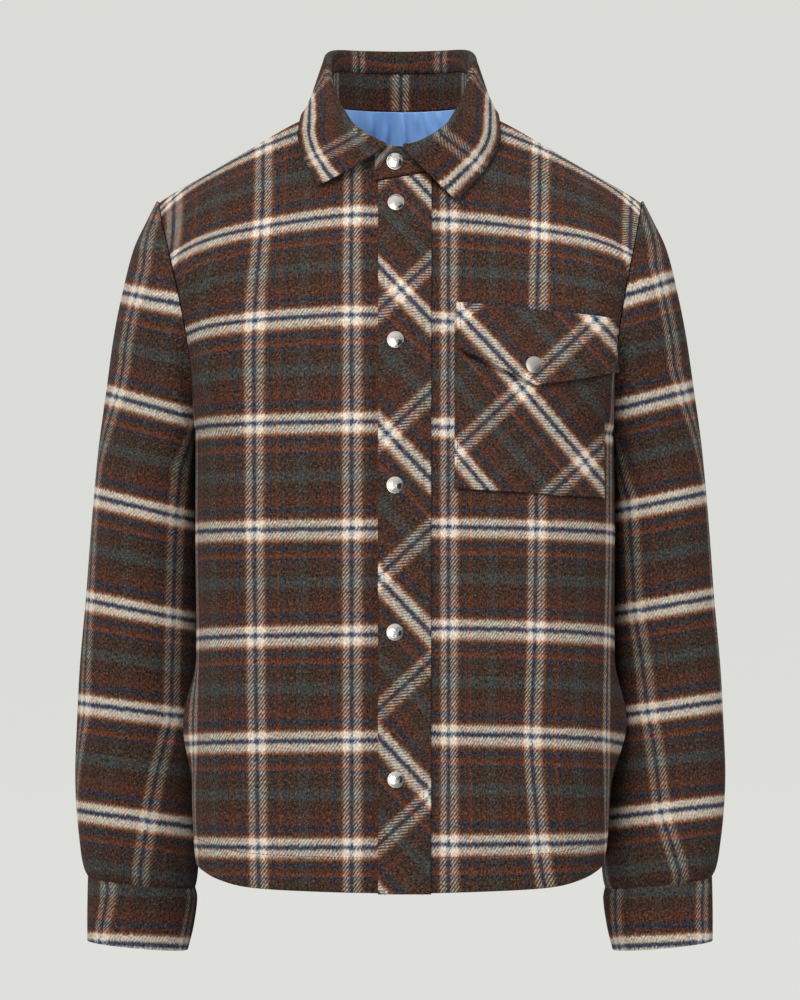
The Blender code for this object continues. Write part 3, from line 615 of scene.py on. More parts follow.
def add_node(tree, kind, values=None, links=None, **settings):
    """Add a node, set its values and link its inputs."""
    made = tree.nodes.new(kind)
    for key, value in settings.items():
        setattr(made, key, value)
    for socket, value in (values or {}).items():
        made.inputs[socket].default_value = value
    for socket, source in (links or {}).items():
        tree.links.new(source, made.inputs[socket])
    return made


def calc(tree, operation, *terms):
    """Math node on sockets and plain numbers."""
    made = add_node(tree, "ShaderNodeMath", operation=operation)
    for index, term in enumerate(terms):
        if isinstance(term, (int, float)):
            made.inputs[index].default_value = term
        else:
            tree.links.new(term, made.inputs[index])
    return made.outputs[0]


def noise(tree, vector, scale, detail, roughness, place=(0, 0, 0)):
    """Noise stretched by a scale for each direction of a vector."""
    mapping = add_node(tree, "ShaderNodeMapping", {"Scale": scale, "Location": place}, {"Vector": vector})
    values = {"Scale": 1.0, "Detail": detail, "Roughness": roughness}
    made = add_node(tree, "ShaderNodeTexNoise", values, {"Vector": mapping.outputs[0]})
    return made.outputs["Fac"]


def blend_colours(tree, factor, first, second):
    """Mix two colours, each a socket or plain numbers."""
    made = add_node(tree, "ShaderNodeMix", data_type="RGBA")
    for socket, term in ((0, factor), (6, first), (7, second)):
        if isinstance(term, bpy.types.NodeSocket):
            tree.links.new(term, made.inputs[socket])
        elif socket == 0:
            made.inputs[socket].default_value = term
        else:
            made.inputs[socket].default_value = (*term, 1.0)
    return made.outputs[2]


def start_material(name):
    """New material, its node tree and its shader."""
    material = bpy.data.materials.new(name)
    material.use_nodes = True
    tree = material.node_tree
    return material, tree, tree.nodes["Principled BSDF"]


print("cream in the shader's scale", [round(part, 3) for part in linear(YARNS["cream"])])

# %% Plaid
TWILL = 0.0027             # from one slanting line to the next
TWILL_TURN = math.radians(50)
TWILL_SHARP = 1.7          # above 1 the lines have flat tops
NAP_REACH = 0.0052         # how far the nap draws out a stripe along the warp
SWAY_REACH = 0.0034        # and across it
WEFT_SHARE = 0.66          # the weft's part of the mix where both yarns are as pale
LINE_SWING = 0.30          # how much of the mix the slanting lines change
PALE_SWING = -0.22
PALE_LEAN = (0.24, -0.54)  # the paler yarn's gain
SHARE_ENDS = (0.03, 0.97)
WARP_SHINE = 3.0
WEFT_SHINE = -2.0
# colour, strength and place in the noise of the loose fibres
FLECKS = (((150, 76, 44), 0.30, (11, 2, 0)), ((80, 108, 120), 0.16, (5, 31, 0)))


def sett_ramp(tree, place):
    """Colour of the yarn at a place along the sett, counted in repeats."""
    ramp = add_node(tree, "ShaderNodeValToRGB", links={"Fac": calc(tree, "FRACT", place)})
    stops = ramp.color_ramp.elements
    wanted = []
    for first, last, yarn in STRIPES:
        wanted += [(edge / SETT_PIXELS, yarn) for edge in sorted({first, last})]
    while len(stops) < len(wanted):
        stops.new(0.5)
    for stop, (at, yarn) in zip(stops, wanted):
        stop.position = at
    for stop, (at, yarn) in zip(stops, wanted):
        stop.color = (*linear(YARNS[yarn]), 1.0)
    return ramp.outputs["Color"]


def brighter(tree, colour, gain):
    """A colour times a number."""
    scaled = add_node(tree, "ShaderNodeVectorMath", {}, {0: colour, "Scale": gain}, operation="SCALE")
    return scaled.outputs[0]


def pale(tree, colour):
    """How light a colour is."""
    return add_node(tree, "ShaderNodeRGBToBW", links={0: colour}).outputs[0]


def twill_wave(tree, u, v, nap):
    """Slanting lines, from -1 where the warp is on top to 1 where the weft is."""
    slant = calc(tree, "MULTIPLY", u, math.sin(TWILL_TURN) / TWILL)
    slant = calc(tree, "MULTIPLY_ADD", v, math.cos(TWILL_TURN) / TWILL, slant)
    slant = calc(tree, "MULTIPLY_ADD", nap, 0.5, slant)
    wave = calc(tree, "SINE", calc(tree, "MULTIPLY", slant, 2 * math.pi))
    wave = calc(tree, "MULTIPLY", wave, TWILL_SHARP)
    return add_node(tree, "ShaderNodeClamp", {1: -1.0, 2: 1.0}, {0: wave}).outputs[0]


def weave(tree, warp, weft, wave, sway, warp_strength):
    """Colour of the two yarns as the twill and the nap mix them."""
    paler = calc(tree, "SUBTRACT", pale(tree, weft), pale(tree, warp))
    warp_gain = calc(tree, "MULTIPLY_ADD", calc(tree, "MAXIMUM", paler, 0.0), WARP_SHINE, 1.0)
    weft_gain = calc(tree, "MULTIPLY_ADD", calc(tree, "MINIMUM", paler, 0.0), WEFT_SHINE, 1.0)
    swing = calc(tree, "MULTIPLY_ADD", paler, PALE_SWING, LINE_SWING)
    lean = calc(tree, "MULTIPLY_ADD", paler, *PALE_LEAN)
    share = calc(tree, "MULTIPLY_ADD", paler, lean, WEFT_SHARE)
    share = calc(tree, "MULTIPLY_ADD", wave, swing, share)
    share = calc(tree, "MULTIPLY_ADD", sway, 0.7, share)
    share = add_node(tree, "ShaderNodeClamp", {1: SHARE_ENDS[0], 2: SHARE_ENDS[1]}, {0: share}).outputs[0]
    share = calc(tree, "MULTIPLY_ADD", share, warp_strength, 1 - warp_strength)
    return blend_colours(tree, share, brighter(tree, warp, warp_gain), brighter(tree, weft, weft_gain))


def plaid_wool(name, warp_strength):
    """Brushed twill in the tartan's sett; the strength is that of the upright stripes."""
    material, tree, shader = start_material(name)
    cloth = add_node(tree, "ShaderNodeUVMap", uv_map="cloth").outputs[0]
    axes = add_node(tree, "ShaderNodeSeparateXYZ", links={0: cloth})
    u, v = axes.outputs[0], axes.outputs[1]
    nap = calc(tree, "SUBTRACT", noise(tree, cloth, (520, 75, 1), 2.0, 0.65), 0.5)
    sway = calc(tree, "SUBTRACT", noise(tree, cloth, (120, 480, 1), 2.0, 0.6, (3, 7, 0)), 0.5)
    weft = sett_ramp(tree, calc(tree, "DIVIDE", calc(tree, "MULTIPLY_ADD", nap, NAP_REACH, v), SETT))
    warp = sett_ramp(tree, calc(tree, "DIVIDE", calc(tree, "MULTIPLY_ADD", sway, SWAY_REACH, u), SETT))
    wave = twill_wave(tree, u, v, nap)
    woven = weave(tree, warp, weft, wave, sway, warp_strength)
    dark = calc(tree, "POWER", calc(tree, "SUBTRACT", 1.0, pale(tree, woven)), 2.0)
    for colour, amount, place in FLECKS:
        fleck = noise(tree, cloth, (300, 620, 1), 2.0, 0.65, place)
        fleck = add_node(tree, "ShaderNodeMapRange", {1: 0.52, 2: 0.70, 3: 0.0, 4: amount}, {0: fleck})
        woven = blend_colours(tree, calc(tree, "MULTIPLY", fleck.outputs[0], dark), woven, linear(colour))
    fibre = calc(tree, "SUBTRACT", noise(tree, cloth, (560, 330, 1), 3.0, 0.7, (1, 17, 0)), 0.5)
    cloud = noise(tree, cloth, (14, 9, 1), 2.0, 0.5, (23, 4, 0))
    light = calc(tree, "MULTIPLY_ADD", fibre, calc(tree, "MULTIPLY_ADD", dark, 4.2, 0.9), 0.93)
    light = calc(tree, "MAXIMUM", calc(tree, "MULTIPLY_ADD", cloud, 0.16, light), 0.15)
    hue = add_node(tree, "ShaderNodeHueSaturation", links={"Color": woven, "Value": light})
    tree.links.new(hue.outputs[0], shader.inputs["Base Color"])
    height = calc(tree, "MULTIPLY_ADD", wave, 0.2, calc(tree, "MULTIPLY", fibre, 1.6))
    bump = add_node(tree, "ShaderNodeBump", {"Strength": 0.6, "Distance": 0.0007}, {"Height": height})
    tree.links.new(bump.outputs[0], shader.inputs["Normal"])
    shader.inputs["Roughness"].default_value = 0.93
    shader.inputs["Specular IOR Level"].default_value = 0.05
    shader.inputs["Sheen Weight"].default_value = 0.02
    shader.inputs["Sheen Roughness"].default_value = 0.55
    return material


PLAID = plaid_wool("brushed_plaid_wool", 0.95)
SOFT_PLAID = plaid_wool("soft_plaid_wool", 0.62)
print("plaid nodes", len(PLAID.node_tree.nodes))

# %% [markdown]
# ## Laying the plaid on the body
#
# The stripes must lie where they are seen, so the flat cloth's map is read from the photograph
# in a few measured stripes. Down the front, each pale stripe has the row at which it crosses the
# front, and how many pixels it has dropped at the side. Across, the first pale stripe and the
# second have a pixel column each, and the second's sways a little. Everything between and
# beyond follows the surface's own length, as cloth does. The back has no photograph. It is cut
# with a stripe on the centre line, and its rows meet those of the fronts at the side seams.

# %% Charts
# Pale stripe: row at the centre line, drop at the side
RIGHT_ROWS = (
    (111, 100), (213.8, 45), (314.5, 20), (421.3, 10), (528.7, 5), (634.6, 6), (740.7, 4), (848, -3),
)
LEFT_ROWS = (
    (111, 100), (219, 36), (321, 16), (427, 10), (527, 10), (628, 13), (734, 12), (845, -5),
)
FIRST_ROW_INDEX = -1
FIRST_WARP = 48.5          # pixels from the centre line to the first pale warp stripe
SECOND_WARP = 140.0        # and about to the second
# row, pixels from the centre line to the second pale warp stripe
RIGHT_WARP = ((150, 137), (215, 138), (290, 144), (350, 146), (500, 145.5), (700, 144), (880, 141))
LEFT_WARP = (
    (150, 140), (230, 139), (300, 137), (520, 136), (650, 134),
    (743, 131), (800, 135), (850, 139), (890, 145),
)
WARP_ARC = 0.087
# Towards the side the stripes lie farther apart, from these rows of the photograph down
SIDE_SPACING = {-1: 0.88, 1: 0.83}
SIDE_SPACING_ROWS = (240, 300)


def index_at(value, marks, first=0):
    """Where values fall among marks: whole at each mark, and even beyond the ends."""
    marks = np.asarray(marks, float)
    inside = first + np.interp(value, marks, np.arange(len(marks)))
    before = first + (value - marks[0]) / (marks[1] - marks[0])
    after = first + len(marks) - 1 + (value - marks[-1]) / (marks[-1] - marks[-2])
    return np.where(value < marks[0], before, np.where(value > marks[-1], after, inside))


def row_index(points, shares, rows):
    """Which weft stripe each point of a body panel lies on."""
    front = points * np.array([1.0, -1.0, 1.0]) if points[0, 0, 1] > 0 else points
    row = seen(front)[1]
    result = np.empty_like(row)
    for c, share in enumerate(np.abs(shares)):
        marks = [level + drop * share ** 2 for level, drop in rows]
        result[:, c] = index_at(row[:, c], marks, FIRST_ROW_INDEX)
    return result


def plan_arcs(points, downs):
    """Length along each row in plan; near the top edge only its width counts."""
    step = np.diff(points, axis=1)
    weight = ease((downs - 0.12) / 0.5)[:, None]
    length = np.hypot(step[..., 0], step[..., 1] * weight)
    return np.pad(np.cumsum(length, axis=1), ((0, 0), (1, 0)))


def warp_index(points, downs, table, side):
    """Which warp stripe each point of a front lies on, counted out from the centre line."""
    arc = plan_arcs(points, downs)
    column, row = seen(points)
    away = side * (column - 0.5 * PICTURE_WIDTH)
    result = np.empty_like(arc)
    for r in range(len(downs)):
        order = np.argsort(away[r])
        shown = away[r][order]
        lengths = side * arc[r][order]
        middle = np.interp(0.0, shown, lengths)
        near = np.interp(SECOND_WARP, shown, row[r][order])
        second = np.interp(float(smooth(table, near, 1)), shown, lengths) - middle
        first = np.interp(FIRST_WARP, shown, lengths) - middle
        result[r] = (side * arc[r] - middle - first) / (second - first)
    start, end = SIDE_SPACING_ROWS
    spacing = mix(1.0, SIDE_SPACING[side], ease((row - start) / (end - start)))
    return np.where(result > 1, 1 + (result - 1) * spacing, result)


print("rows", len(RIGHT_ROWS), "repeat", SETT)

# %% [markdown]
# ## Fronts and back
#
# The two fronts overlap under the placket, where the right one is sunk by the thickness of the
# left. Their outer edges are sewn to the back at the sides and shoulders and to the sleeves at
# the armholes, and each seam pulls the nap in a little. Rows of stitching press a line into the
# cloth: one above the hem, and one at the waist that holds the pocket bags.

# %% Panels
FRONT_COLUMNS = 96
BACK_COLUMNS = 170
PANEL_ROWS = 190
SEAM_SINK = 0.0004
SEWN_GAP = 0.00005
SEAM_SOFT = 0.0045
HEM_LINE = 0.0318
HEM_LINE_AT_SIDE = 0.0210
HEM_GROOVE = (0.0005, 0.0011)    # depth and half width


def waviness(points, size=0.0009):
    """Slow unevenness of thick cloth that hangs free."""
    x, y, z = points[..., 0], points[..., 1], points[..., 2]
    first = np.sin(21 * x + 9 * z + 0.6) * np.sin(13 * z - 8 * x + 7 * y + 1.1)
    second = np.sin(43 * x - 17 * z + 15 * y + 2.3) * np.sin(27 * z + 11 * x)
    return size * (first + 0.45 * second)


def side_seams(shares, downs):
    """Where a panel's grid lies on its side seam and where on its shoulder seam."""
    share, down = np.meshgrid(np.abs(shares), downs)
    at_side = (share > 0.9995) & (down > UNDERARM_SHARE - 0.001)
    at_shoulder = (down < 0.0005) & (share > NECK_SHARE - 0.001)
    return at_side, at_shoulder


def panel(start, end, face, columns, sunk=0.0):
    """Grid of a body panel, its outward directions and how far its details sink it."""
    shares = places(start, end, columns, 0.005)
    downs = places(0.0, 2.0, PANEL_ROWS, 0.004)
    base = body(shares[None, :], downs[:, None], face)
    at_side, at_shoulder = side_seams(shares, downs)
    base[..., 1] += np.where(at_side | at_shoulder, face * SEWN_GAP, 0.0)
    outward = facing(base, face)
    top, bottom, left, right = edge_distances(base)
    seam = np.where((np.abs(shares) > NECK_SHARE)[None, :], top, 1.0)
    free = bottom
    for sewn, distance in ((start <= -1, left), (end >= 1, right)):
        seam = np.minimum(seam, distance) if sewn else seam
        free = free if sewn else np.minimum(free, distance)
    sink = rolled(free) + pressed(seam, SEAM_SINK, SEAM_SOFT)
    hold = ease(seam / 0.04) * ease(bottom / 0.01)
    away = np.clip(-shares - SUNK_SHARE, 0, 1)[None, :] / SUNK_SHARE
    sink = sink + sunk * ease(1 - 0.5 * away)
    line = mix(HEM_LINE, HEM_LINE_AT_SIDE, ease((np.abs(shares) - 0.62) / 0.38))[None, :]
    deeper = 1 + 1.6 * ease((np.abs(shares) - 0.8) / 0.15)
    sink = sink + pressed(bottom - line, *HEM_GROOVE) * deeper[None, :]
    return shares, downs, base, outward, sink - waviness(base) * hold, at_shoulder, bottom - line


def wall_grids(shares, base, outward, sink, at_shoulder):
    """Outer and inner grid once the surface has sunk by what its details take."""
    down_in = unit(spot(-np.sign(shares)[None, :] * SHOULDER_SLOPE, 0.0, -1.0))
    inward = np.where(at_shoulder[..., None], np.broadcast_to(down_in, base.shape), -outward)
    outer = base + inward * sink[..., None]
    inner = base + inward * (WALL + np.minimum(sink, 0.6 * WALL) * 0.3)[..., None]
    return outer, inner


def cloth_map(u, v):
    """Place on the flat cloth, from the number of repeats across and down."""
    return np.stack([u * SETT, v * SETT], axis=-1)


print("hem line", HEM_LINE, "above the edge in the middle and", HEM_LINE_AT_SIDE, "at the sides")

# %% Fronts
WAIST_ROW = 565
WAIST_DROP = 4             # pixels by which the left waist line falls towards the side
WAIST_ENDS = (26, 153)     # pixels from the centre line
WAIST_GROOVE = (0.0009, 0.0012)
MOUTH_GROOVE = (0.0016, 0.0022)
MOUTH_LINE = 0.004
UNDERLAP = UNDERLAP_X / PANEL_REACH
OVERLAP = (PLACKET_RIGHT_X + 0.0006) / PANEL_REACH


def front(node, start, end, side, rows, table, sunk):
    """One front, with its waist line and the mouth of its side pocket."""
    shares, downs, base, outward, sink, at_shoulder, hem_line = panel(start, end, -1, FRONT_COLUMNS, sunk)
    column, row = seen(base)
    away = side * (column - 0.5 * PICTURE_WIDTH)
    waist = ease((away - WAIST_ENDS[0]) / 6) * ease((WAIST_ENDS[1] - away) / 6) * (base[..., 1] < 0)
    waist_row = WAIST_ROW + WAIST_DROP * np.clip((away - 30) / 120, 0, 1) * (side > 0)
    waist_line = (row - waist_row) * 0.0009
    sink = sink + pressed(waist_line, *WAIST_GROOVE) * waist
    distance = edge_distances(base)[3 if side > 0 else 2]
    mouth = bell((base[..., 2] - POCKET_MOUTH_Z) / (0.7 * POCKET_MOUTH_HALF))
    sink = sink + pressed(distance - MOUTH_LINE, *MOUTH_GROOVE) * mouth
    outer, inner = wall_grids(shares, base, outward, sink, at_shoulder)
    u = side * warp_index(base, downs, table, side)
    v = row_index(base, shares, rows)
    piece = shell(node + "_cloth", outer, inner, cloth_map(u, v), PLAID)
    declare(piece, node)
    return {"outer": outer, "outward": outward, "hem": hem_line, "waist": waist_line, "waist_share": waist}


RIGHT = front("front_right", -1.0, UNDERLAP, -1, RIGHT_ROWS, RIGHT_WARP, WALL + 2 * SEAM)
LEFT = front("front_left", OVERLAP, 1.0, 1, LEFT_ROWS, LEFT_WARP, 0.0)

# %% Back
def back():
    """The back, with a pale stripe on its centre line."""
    shares, downs, base, outward, sink, at_shoulder, hem_line = panel(-1.0, 1.0, 1, BACK_COLUMNS)
    outer, inner = wall_grids(shares, base, outward, sink, at_shoulder)
    arc = plan_arcs(base, downs)
    middle = np.array([np.interp(0.0, shares, line) for line in arc])[:, None]
    u = -(arc - middle) / WARP_ARC
    rows = [tuple(0.5 * (a + b) for a, b in zip(*pair)) for pair in zip(RIGHT_ROWS, LEFT_ROWS)]
    right_rows = row_index(base, shares, RIGHT_ROWS)
    left_rows = row_index(base, shares, LEFT_ROWS)
    centre_rows = row_index(base, shares, rows)
    part = shares[None, :]
    right = mix(centre_rows, right_rows, ease(-part))
    left = mix(centre_rows, left_rows, ease(part))
    piece = shell("back_cloth", outer, inner, cloth_map(u, np.where(part < 0, right, left)), PLAID)
    declare(piece, "back")
    return {"outer": outer, "outward": outward, "hem": hem_line}


BACK = back()

# %% [markdown]
# ## The lining
#
# Only a patch of lining shows, inside the neck under the collar stand. It is a blue satin: thin,
# smooth, with a soft gloss, and slack enough to hang in fine upright creases. The creases that
# the photograph shows are placed one by one, and the rest of the lining has similar ones.

# %% Satin
def blue_satin():
    """Smooth blue lining with a fine weave, its colour paler on its soft ripples and darker in their
    hollows as painted shade.
    """
    material, tree, shader = start_material("blue_satin_lining")
    cloth = add_node(tree, "ShaderNodeUVMap", uv_map="cloth").outputs[0]
    # One slow noise sets both the soft ripples of the bump and the colour, so the satin is paler on the
    # ripples and darker in their hollows: random tone and painted shade in the creases.
    shade = noise(tree, cloth, (55, 12, 1), 3.0, 0.55)
    weave = noise(tree, cloth, (3200, 420, 1), 1.0, 0.5)
    colour = blend_colours(tree, shade, linear((122, 176, 255)), linear((164, 206, 255)))
    tree.links.new(colour, shader.inputs["Base Color"])
    height = calc(tree, "MULTIPLY_ADD", shade, 1.0, calc(tree, "MULTIPLY", weave, 0.12))
    bump = add_node(tree, "ShaderNodeBump", {"Strength": 0.25, "Distance": 0.002}, {"Height": height})
    tree.links.new(bump.outputs[0], shader.inputs["Normal"])
    shader.inputs["Roughness"].default_value = 0.42
    shader.inputs["Specular IOR Level"].default_value = 0.4
    shader.inputs["Sheen Weight"].default_value = 0.15
    return material


# %% Lining
# Creases seen inside the neck: column and row at the top and at the bottom, depth, half width
LINING_CREASES = (
    (402.5, 112, 408, 150, 0.0052, 3.2),
    (427, 112, 434, 138, 0.0036, 2.8),
    (368, 114, 371, 134, 0.0034, 3.0),
    (385.5, 122, 386, 142, 0.0030, 3.2),
    (416, 111, 419, 126, 0.0026, 2.6),
    (440, 111, 444, 124, 0.0026, 2.8),
)


def lining():
    """The lining of the back, a seam's gap inside it."""
    even = np.linspace(-1, 1, 231)
    shares = 0.93 * (0.35 * even + 0.65 * even ** 3)
    downs = places(0.0, 1.89, 120, 0.004)
    base = body(shares[None, :], downs[:, None], 1)
    outward = facing(base, 1)
    column, row = seen(base)
    folds = np.zeros(column.shape)
    for x0, y0, x1, y1, depth, width in LINING_CREASES:
        along = np.clip((row - y0) / (y1 - y0), -0.3, 1.3)
        folds += pressed(column - mix(x0, x1, along), depth, width) * bell((along - 0.5) / 0.85)
    ripple = np.sin(shares * 61 + 0.8)[None, :] + 0.6 * np.sin(shares * 97 + 3 * downs[:, None])
    folds += 0.0006 * ripple * ease(downs / 0.25)[:, None]
    gap = WALL + LINING_GAP
    outer = base - outward * (gap + np.clip(0.5 * folds, -0.0002, 1))[..., None]
    inner = base - outward * (gap + LINING + np.clip(folds, -0.0002, 1))[..., None]
    arc = plan_arcs(base, downs)
    length = edge_distances(base)[0]
    piece = shell("back_lining_satin", outer, inner, np.stack([arc, length], axis=-1), blue_satin())
    declare(piece, "back_lining")


lining()

# %% [markdown]
# ## Sleeves and cuffs
#
# A sleeve is a tube that starts as the ring of the armhole and hangs beside the body. The tables
# give a few of its rings, and a smooth curve along the tube joins them. It is fuller than the
# cuff and blouses over it. The plaid's warp runs down the sleeve and slowly turns towards its
# outer line, so the photograph gives the column of one stripe at several rows.

# %% Sleeve tables
SLEEVE_SIDES = 96
# outer x, outer z, room to the body, inner z, centre y, half depth
SLEEVE = (
    (0.2335, -0.0925, 0.0014, -0.3000, 0.003, 0.0815),
    (0.2453, -0.1166, 0.0015, -0.3090, 0.007, 0.0790),
    (0.2555, -0.1550, 0.0015, -0.3190, 0.011, 0.0760),
    (0.2638, -0.1950, 0.0015, -0.3330, 0.015, 0.0725),
    (0.2712, -0.2441, 0.0015, -0.3550, 0.020, 0.0690),
    (0.2799, -0.3031, 0.0015, -0.3850, 0.025, 0.0660),
    (0.2868, -0.3750, 0.0015, -0.4250, 0.029, 0.0630),
    (0.2920, -0.4419, 0.0015, -0.4720, 0.032, 0.0600),
    (0.2976, -0.5050, 0.0015, -0.5250, 0.035, 0.0570),
    (0.3006, -0.5550, 0.0015, -0.5710, 0.036, 0.0545),
    (0.3027, -0.6060, 0.0015, -0.6215, 0.036, 0.0520),
    (0.3010, -0.6450, 0.0022, -0.6600, 0.036, 0.0490),
    (0.2970, -0.6800, 0.0046, -0.6930, 0.036, 0.0445),
    (0.2936, -0.6955, 0.0068, -0.7070, 0.036, 0.0390),
    (0.2899, -0.7030, 0.0092, -0.7138, 0.036, 0.0340),
)
CUFF = (
    SLEEVE[-1],
    (0.2902, -0.7130, 0.0080, -0.7240, 0.036, 0.0345),
    (0.2906, -0.7400, 0.0118, -0.7500, 0.036, 0.0335),
    (0.2905, -0.7630, 0.0170, -0.7710, 0.036, 0.0325),
)
# Rows of the pale stripes at the sleeve's outer and inner line
SLEEVE_ROWS_RIGHT = ((293, 309), (394, 418), (496, 521), (600, 622), (703, 718), (810, 828), (917, 932))
SLEEVE_ROWS_LEFT = ((280, 304), (390, 410), (493, 512), (597, 615), (701, 717), (804, 818), (912, 926))
# Row, column from the picture's left or right edge, and which pale warp stripe it is
SLEEVE_WARP_RIGHT = (
    (215, 157, 0),
    (267, 145.5, 0),
    (322, 132, 0),
    (364, 126, 0),
    (440, 106, 0),
    (467, 179, 1),
    (513, 175, 1),
    (607, 172, 1),
    (717, 170, 1),
    (766, 158, 1),
    (819, 148, 1),
    (876, 140, 1),
)
SLEEVE_WARP_LEFT = (
    (215, 157, 0),
    (267, 146, 0),
    (364, 128, 0),
    (500, 170, 1),
    (610, 164, 1),
    (650, 158, 1),
    (708, 152, 1),
    (760, 144, 1),
    (813, 139, 1),
    (877, 121, 1),
)
CUFF_WARP_RIGHT = ((892, 109, 0), (934, 102, 0))
CUFF_WARP_LEFT = ((892, 99.5, 0), (934, 99.5, 0))
CUFF_ROWS = ((835, 839), (942, 946))
UNDERARM_ROW = 350
PIXEL = 0.00094            # metres to a pixel at the sleeves
ANGLES = np.linspace(-math.pi, math.pi, SLEEVE_SIDES + 1)
print("rings", len(SLEEVE), "round", SLEEVE_SIDES)

# %% Tubes
def ring(row, side):
    """Closed ring of one table row, from the inner line round the back, the outer line and the front."""
    outer_x, outer_z, room, inner_z, centre_y, half_depth = row
    inner_x = float(side_reach(inner_z, centre_y, side)) + room
    outer = np.array([side * outer_x, centre_y, outer_z])
    inner = np.array([side * inner_x, centre_y, inner_z])
    along = power(np.cos(ANGLES), 2 / SLEEVE_POWER)[:, None]
    across = power(np.sin(ANGLES), 2 / SLEEVE_POWER)
    return 0.5 * (outer + inner) + 0.5 * (outer - inner) * along + spot(0.0, -across * half_depth, 0.0)


def armhole_ring(side):
    """Ring on the armhole seam, clear of the body by a seam's gap."""
    points = armhole(np.abs(ANGLES) / math.pi, side, np.where(ANGLES >= 0, -1.0, 1.0))
    points[:, 0] += side * SEWN_GAP
    return points


def tube(rings, count, edge):
    """Smooth rows through a few rings, close together at both ends."""
    rings = np.array(rings)
    steps = np.linalg.norm(np.diff(rings, axis=0), axis=-1).mean(axis=1)
    keys = np.concatenate([[0.0], np.cumsum(steps)])
    return through(keys, rings, places(0.0, keys[-1], count, edge))


print("armhole ring, lowest point", round(float(armhole_ring(1)[:, 2].min()), 4))

# %% Plaid on a tube
def outline(points, side):
    """A tube's picture column and row, the middle and half width there, and the angle round it."""
    column, row = seen(points)
    shown = column if side < 0 else PICTURE_WIDTH - column
    marks = np.arange(row.min() + 9, row.max() - 6, 6)
    near = [np.abs(row - mark) < 5 for mark in marks]
    outer = np.array([shown[at].min() for at in near])
    inner = np.array([shown[at].max() for at in near])
    front = np.array([points[..., 1][at].min() for at in near])
    rear = np.array([points[..., 1][at].max() for at in near])
    below = np.maximum(marks, UNDERARM_ROW)
    half = np.interp(row, marks, np.interp(below, marks, 0.5 * (inner - outer)))
    depth = np.interp(row, marks, np.interp(below, marks, 0.5 * (rear - front)))
    middle = np.interp(row, marks, outer) + half
    centre = np.interp(row, marks, 0.5 * (front + rear))
    turn = np.arctan2((shown - middle) / half, (centre - points[..., 1]) / depth)
    turn = np.where((ANGLES < 0)[None, :] & (turn > 0), turn - 2 * math.pi, turn)
    return shown, row, middle, half, turn


def tube_cloth(points, rows, table, side):
    """Plaid of a tube, from its pale stripes' rows and one stripe's column at several rows."""
    shown, row, middle, half, turn = outline(points, side)
    arc = turn * half * PIXEL
    hidden = 1000.0 * (np.abs(turn) > 0.45 * math.pi)
    known_arcs = []
    for at, place, line in table:
        near = np.argmin(3 * np.abs(row - at) + np.abs(shown - place) + hidden)
        aside = (place - shown.reshape(-1)[near]) / math.cos(turn.reshape(-1)[near])
        known_arcs.append(arc.reshape(-1)[near] + aside * PIXEL - line * WARP_ARC)
    start = np.interp(row, [entry[0] for entry in table], known_arcs)
    u = -side * (arc - start) / WARP_ARC
    across = np.clip(0.5 + 0.5 * (shown - middle) / half, 0, 1)
    v = np.empty_like(row)
    for index in np.ndindex(row.shape):
        marks = [mix(outer, inner, across[index]) for outer, inner in rows]
        v[index] = index_at(row[index], marks)
    return cloth_map(u, v)


print("stripes charted on the sleeves", len(SLEEVE_WARP_RIGHT), "and", len(SLEEVE_WARP_LEFT))

# %% Sleeves
SLEEVE_ROWS_FINE = 190
CUFF_GATHER = 0.0011
# Soft folds on the sleeves: column and row at both ends, depth, half width in pixels
SLEEVE_FOLDS = (
    (150, 330, 186, 372, 0.0016, 7),
    (128, 470, 176, 500, 0.0010, 9),
    (104, 560, 160, 548, 0.0009, 8),
    (112, 690, 172, 660, 0.0009, 9),
    (96, 800, 132, 850, 0.0012, 7),
    (150, 812, 168, 862, 0.0011, 6),
)


def sleeve_folds(points, side):
    """Soft troughs on the front of a sleeve, and the same farther round on its back."""
    column, row = seen(points)
    shown = column if side < 0 else PICTURE_WIDTH - column
    total = np.zeros(column.shape)
    for x0, y0, x1, y1, depth, width in SLEEVE_FOLDS:
        length = math.hypot(x1 - x0, y1 - y0)
        along = ((shown - x0) * (x1 - x0) + (row - y0) * (y1 - y0)) / length ** 2
        off = ((shown - x0) * (y1 - y0) - (row - y0) * (x1 - x0)) / length
        total += pressed(off, depth, width) * bell((along - 0.5) / 0.75)
        total -= pressed(np.abs(off) - 1.6 * width, 0.4 * depth, width) * bell((along - 0.5) / 0.75)
    return total


def sleeve(node, side, rows, warp):
    """One sleeve, from the armhole seam to the cuff seam."""
    base = tube([armhole_ring(side)] + [ring(row, side) for row in SLEEVE], SLEEVE_ROWS_FINE, 0.0013)
    outward = tube_facing(base, -side)
    top, bottom = edge_distances(base)[:2]
    sink = rolled(bottom) + pressed(top, SEAM_SINK, SEAM_SOFT) + pressed(bottom, SEAM_SINK, 0.003)
    gathers = np.sin(9 * ANGLES + 0.7) + 0.6 * np.sin(14 * ANGLES + 2.1)
    reach = pressed(bottom - 0.012, 1.0, 0.016) * ease(bottom / 0.008)
    sink = sink + CUFF_GATHER * gathers[None, :] * reach
    sink = sink - waviness(base, 0.0012) * ease(top / 0.05) * ease(bottom / 0.05)
    sink = sink + sleeve_folds(base, side)
    outer = base - outward * sink[..., None]
    inner = base - outward * (WALL + 0.3 * np.minimum(sink, 0.6 * WALL))[..., None]
    cloth = tube_cloth(base, rows, warp, side)
    piece = shell(node + "_cloth", outer, inner, cloth, SOFT_PLAID, closed=True)
    declare(piece, node)


sleeve("sleeve_right", -1, SLEEVE_ROWS_RIGHT, SLEEVE_WARP_RIGHT)
sleeve("sleeve_left", 1, SLEEVE_ROWS_LEFT, SLEEVE_WARP_LEFT)

# %% Cuffs
CUFF_LINE = 0.0050
CUFF_GROOVE = (0.0004, 0.0010)


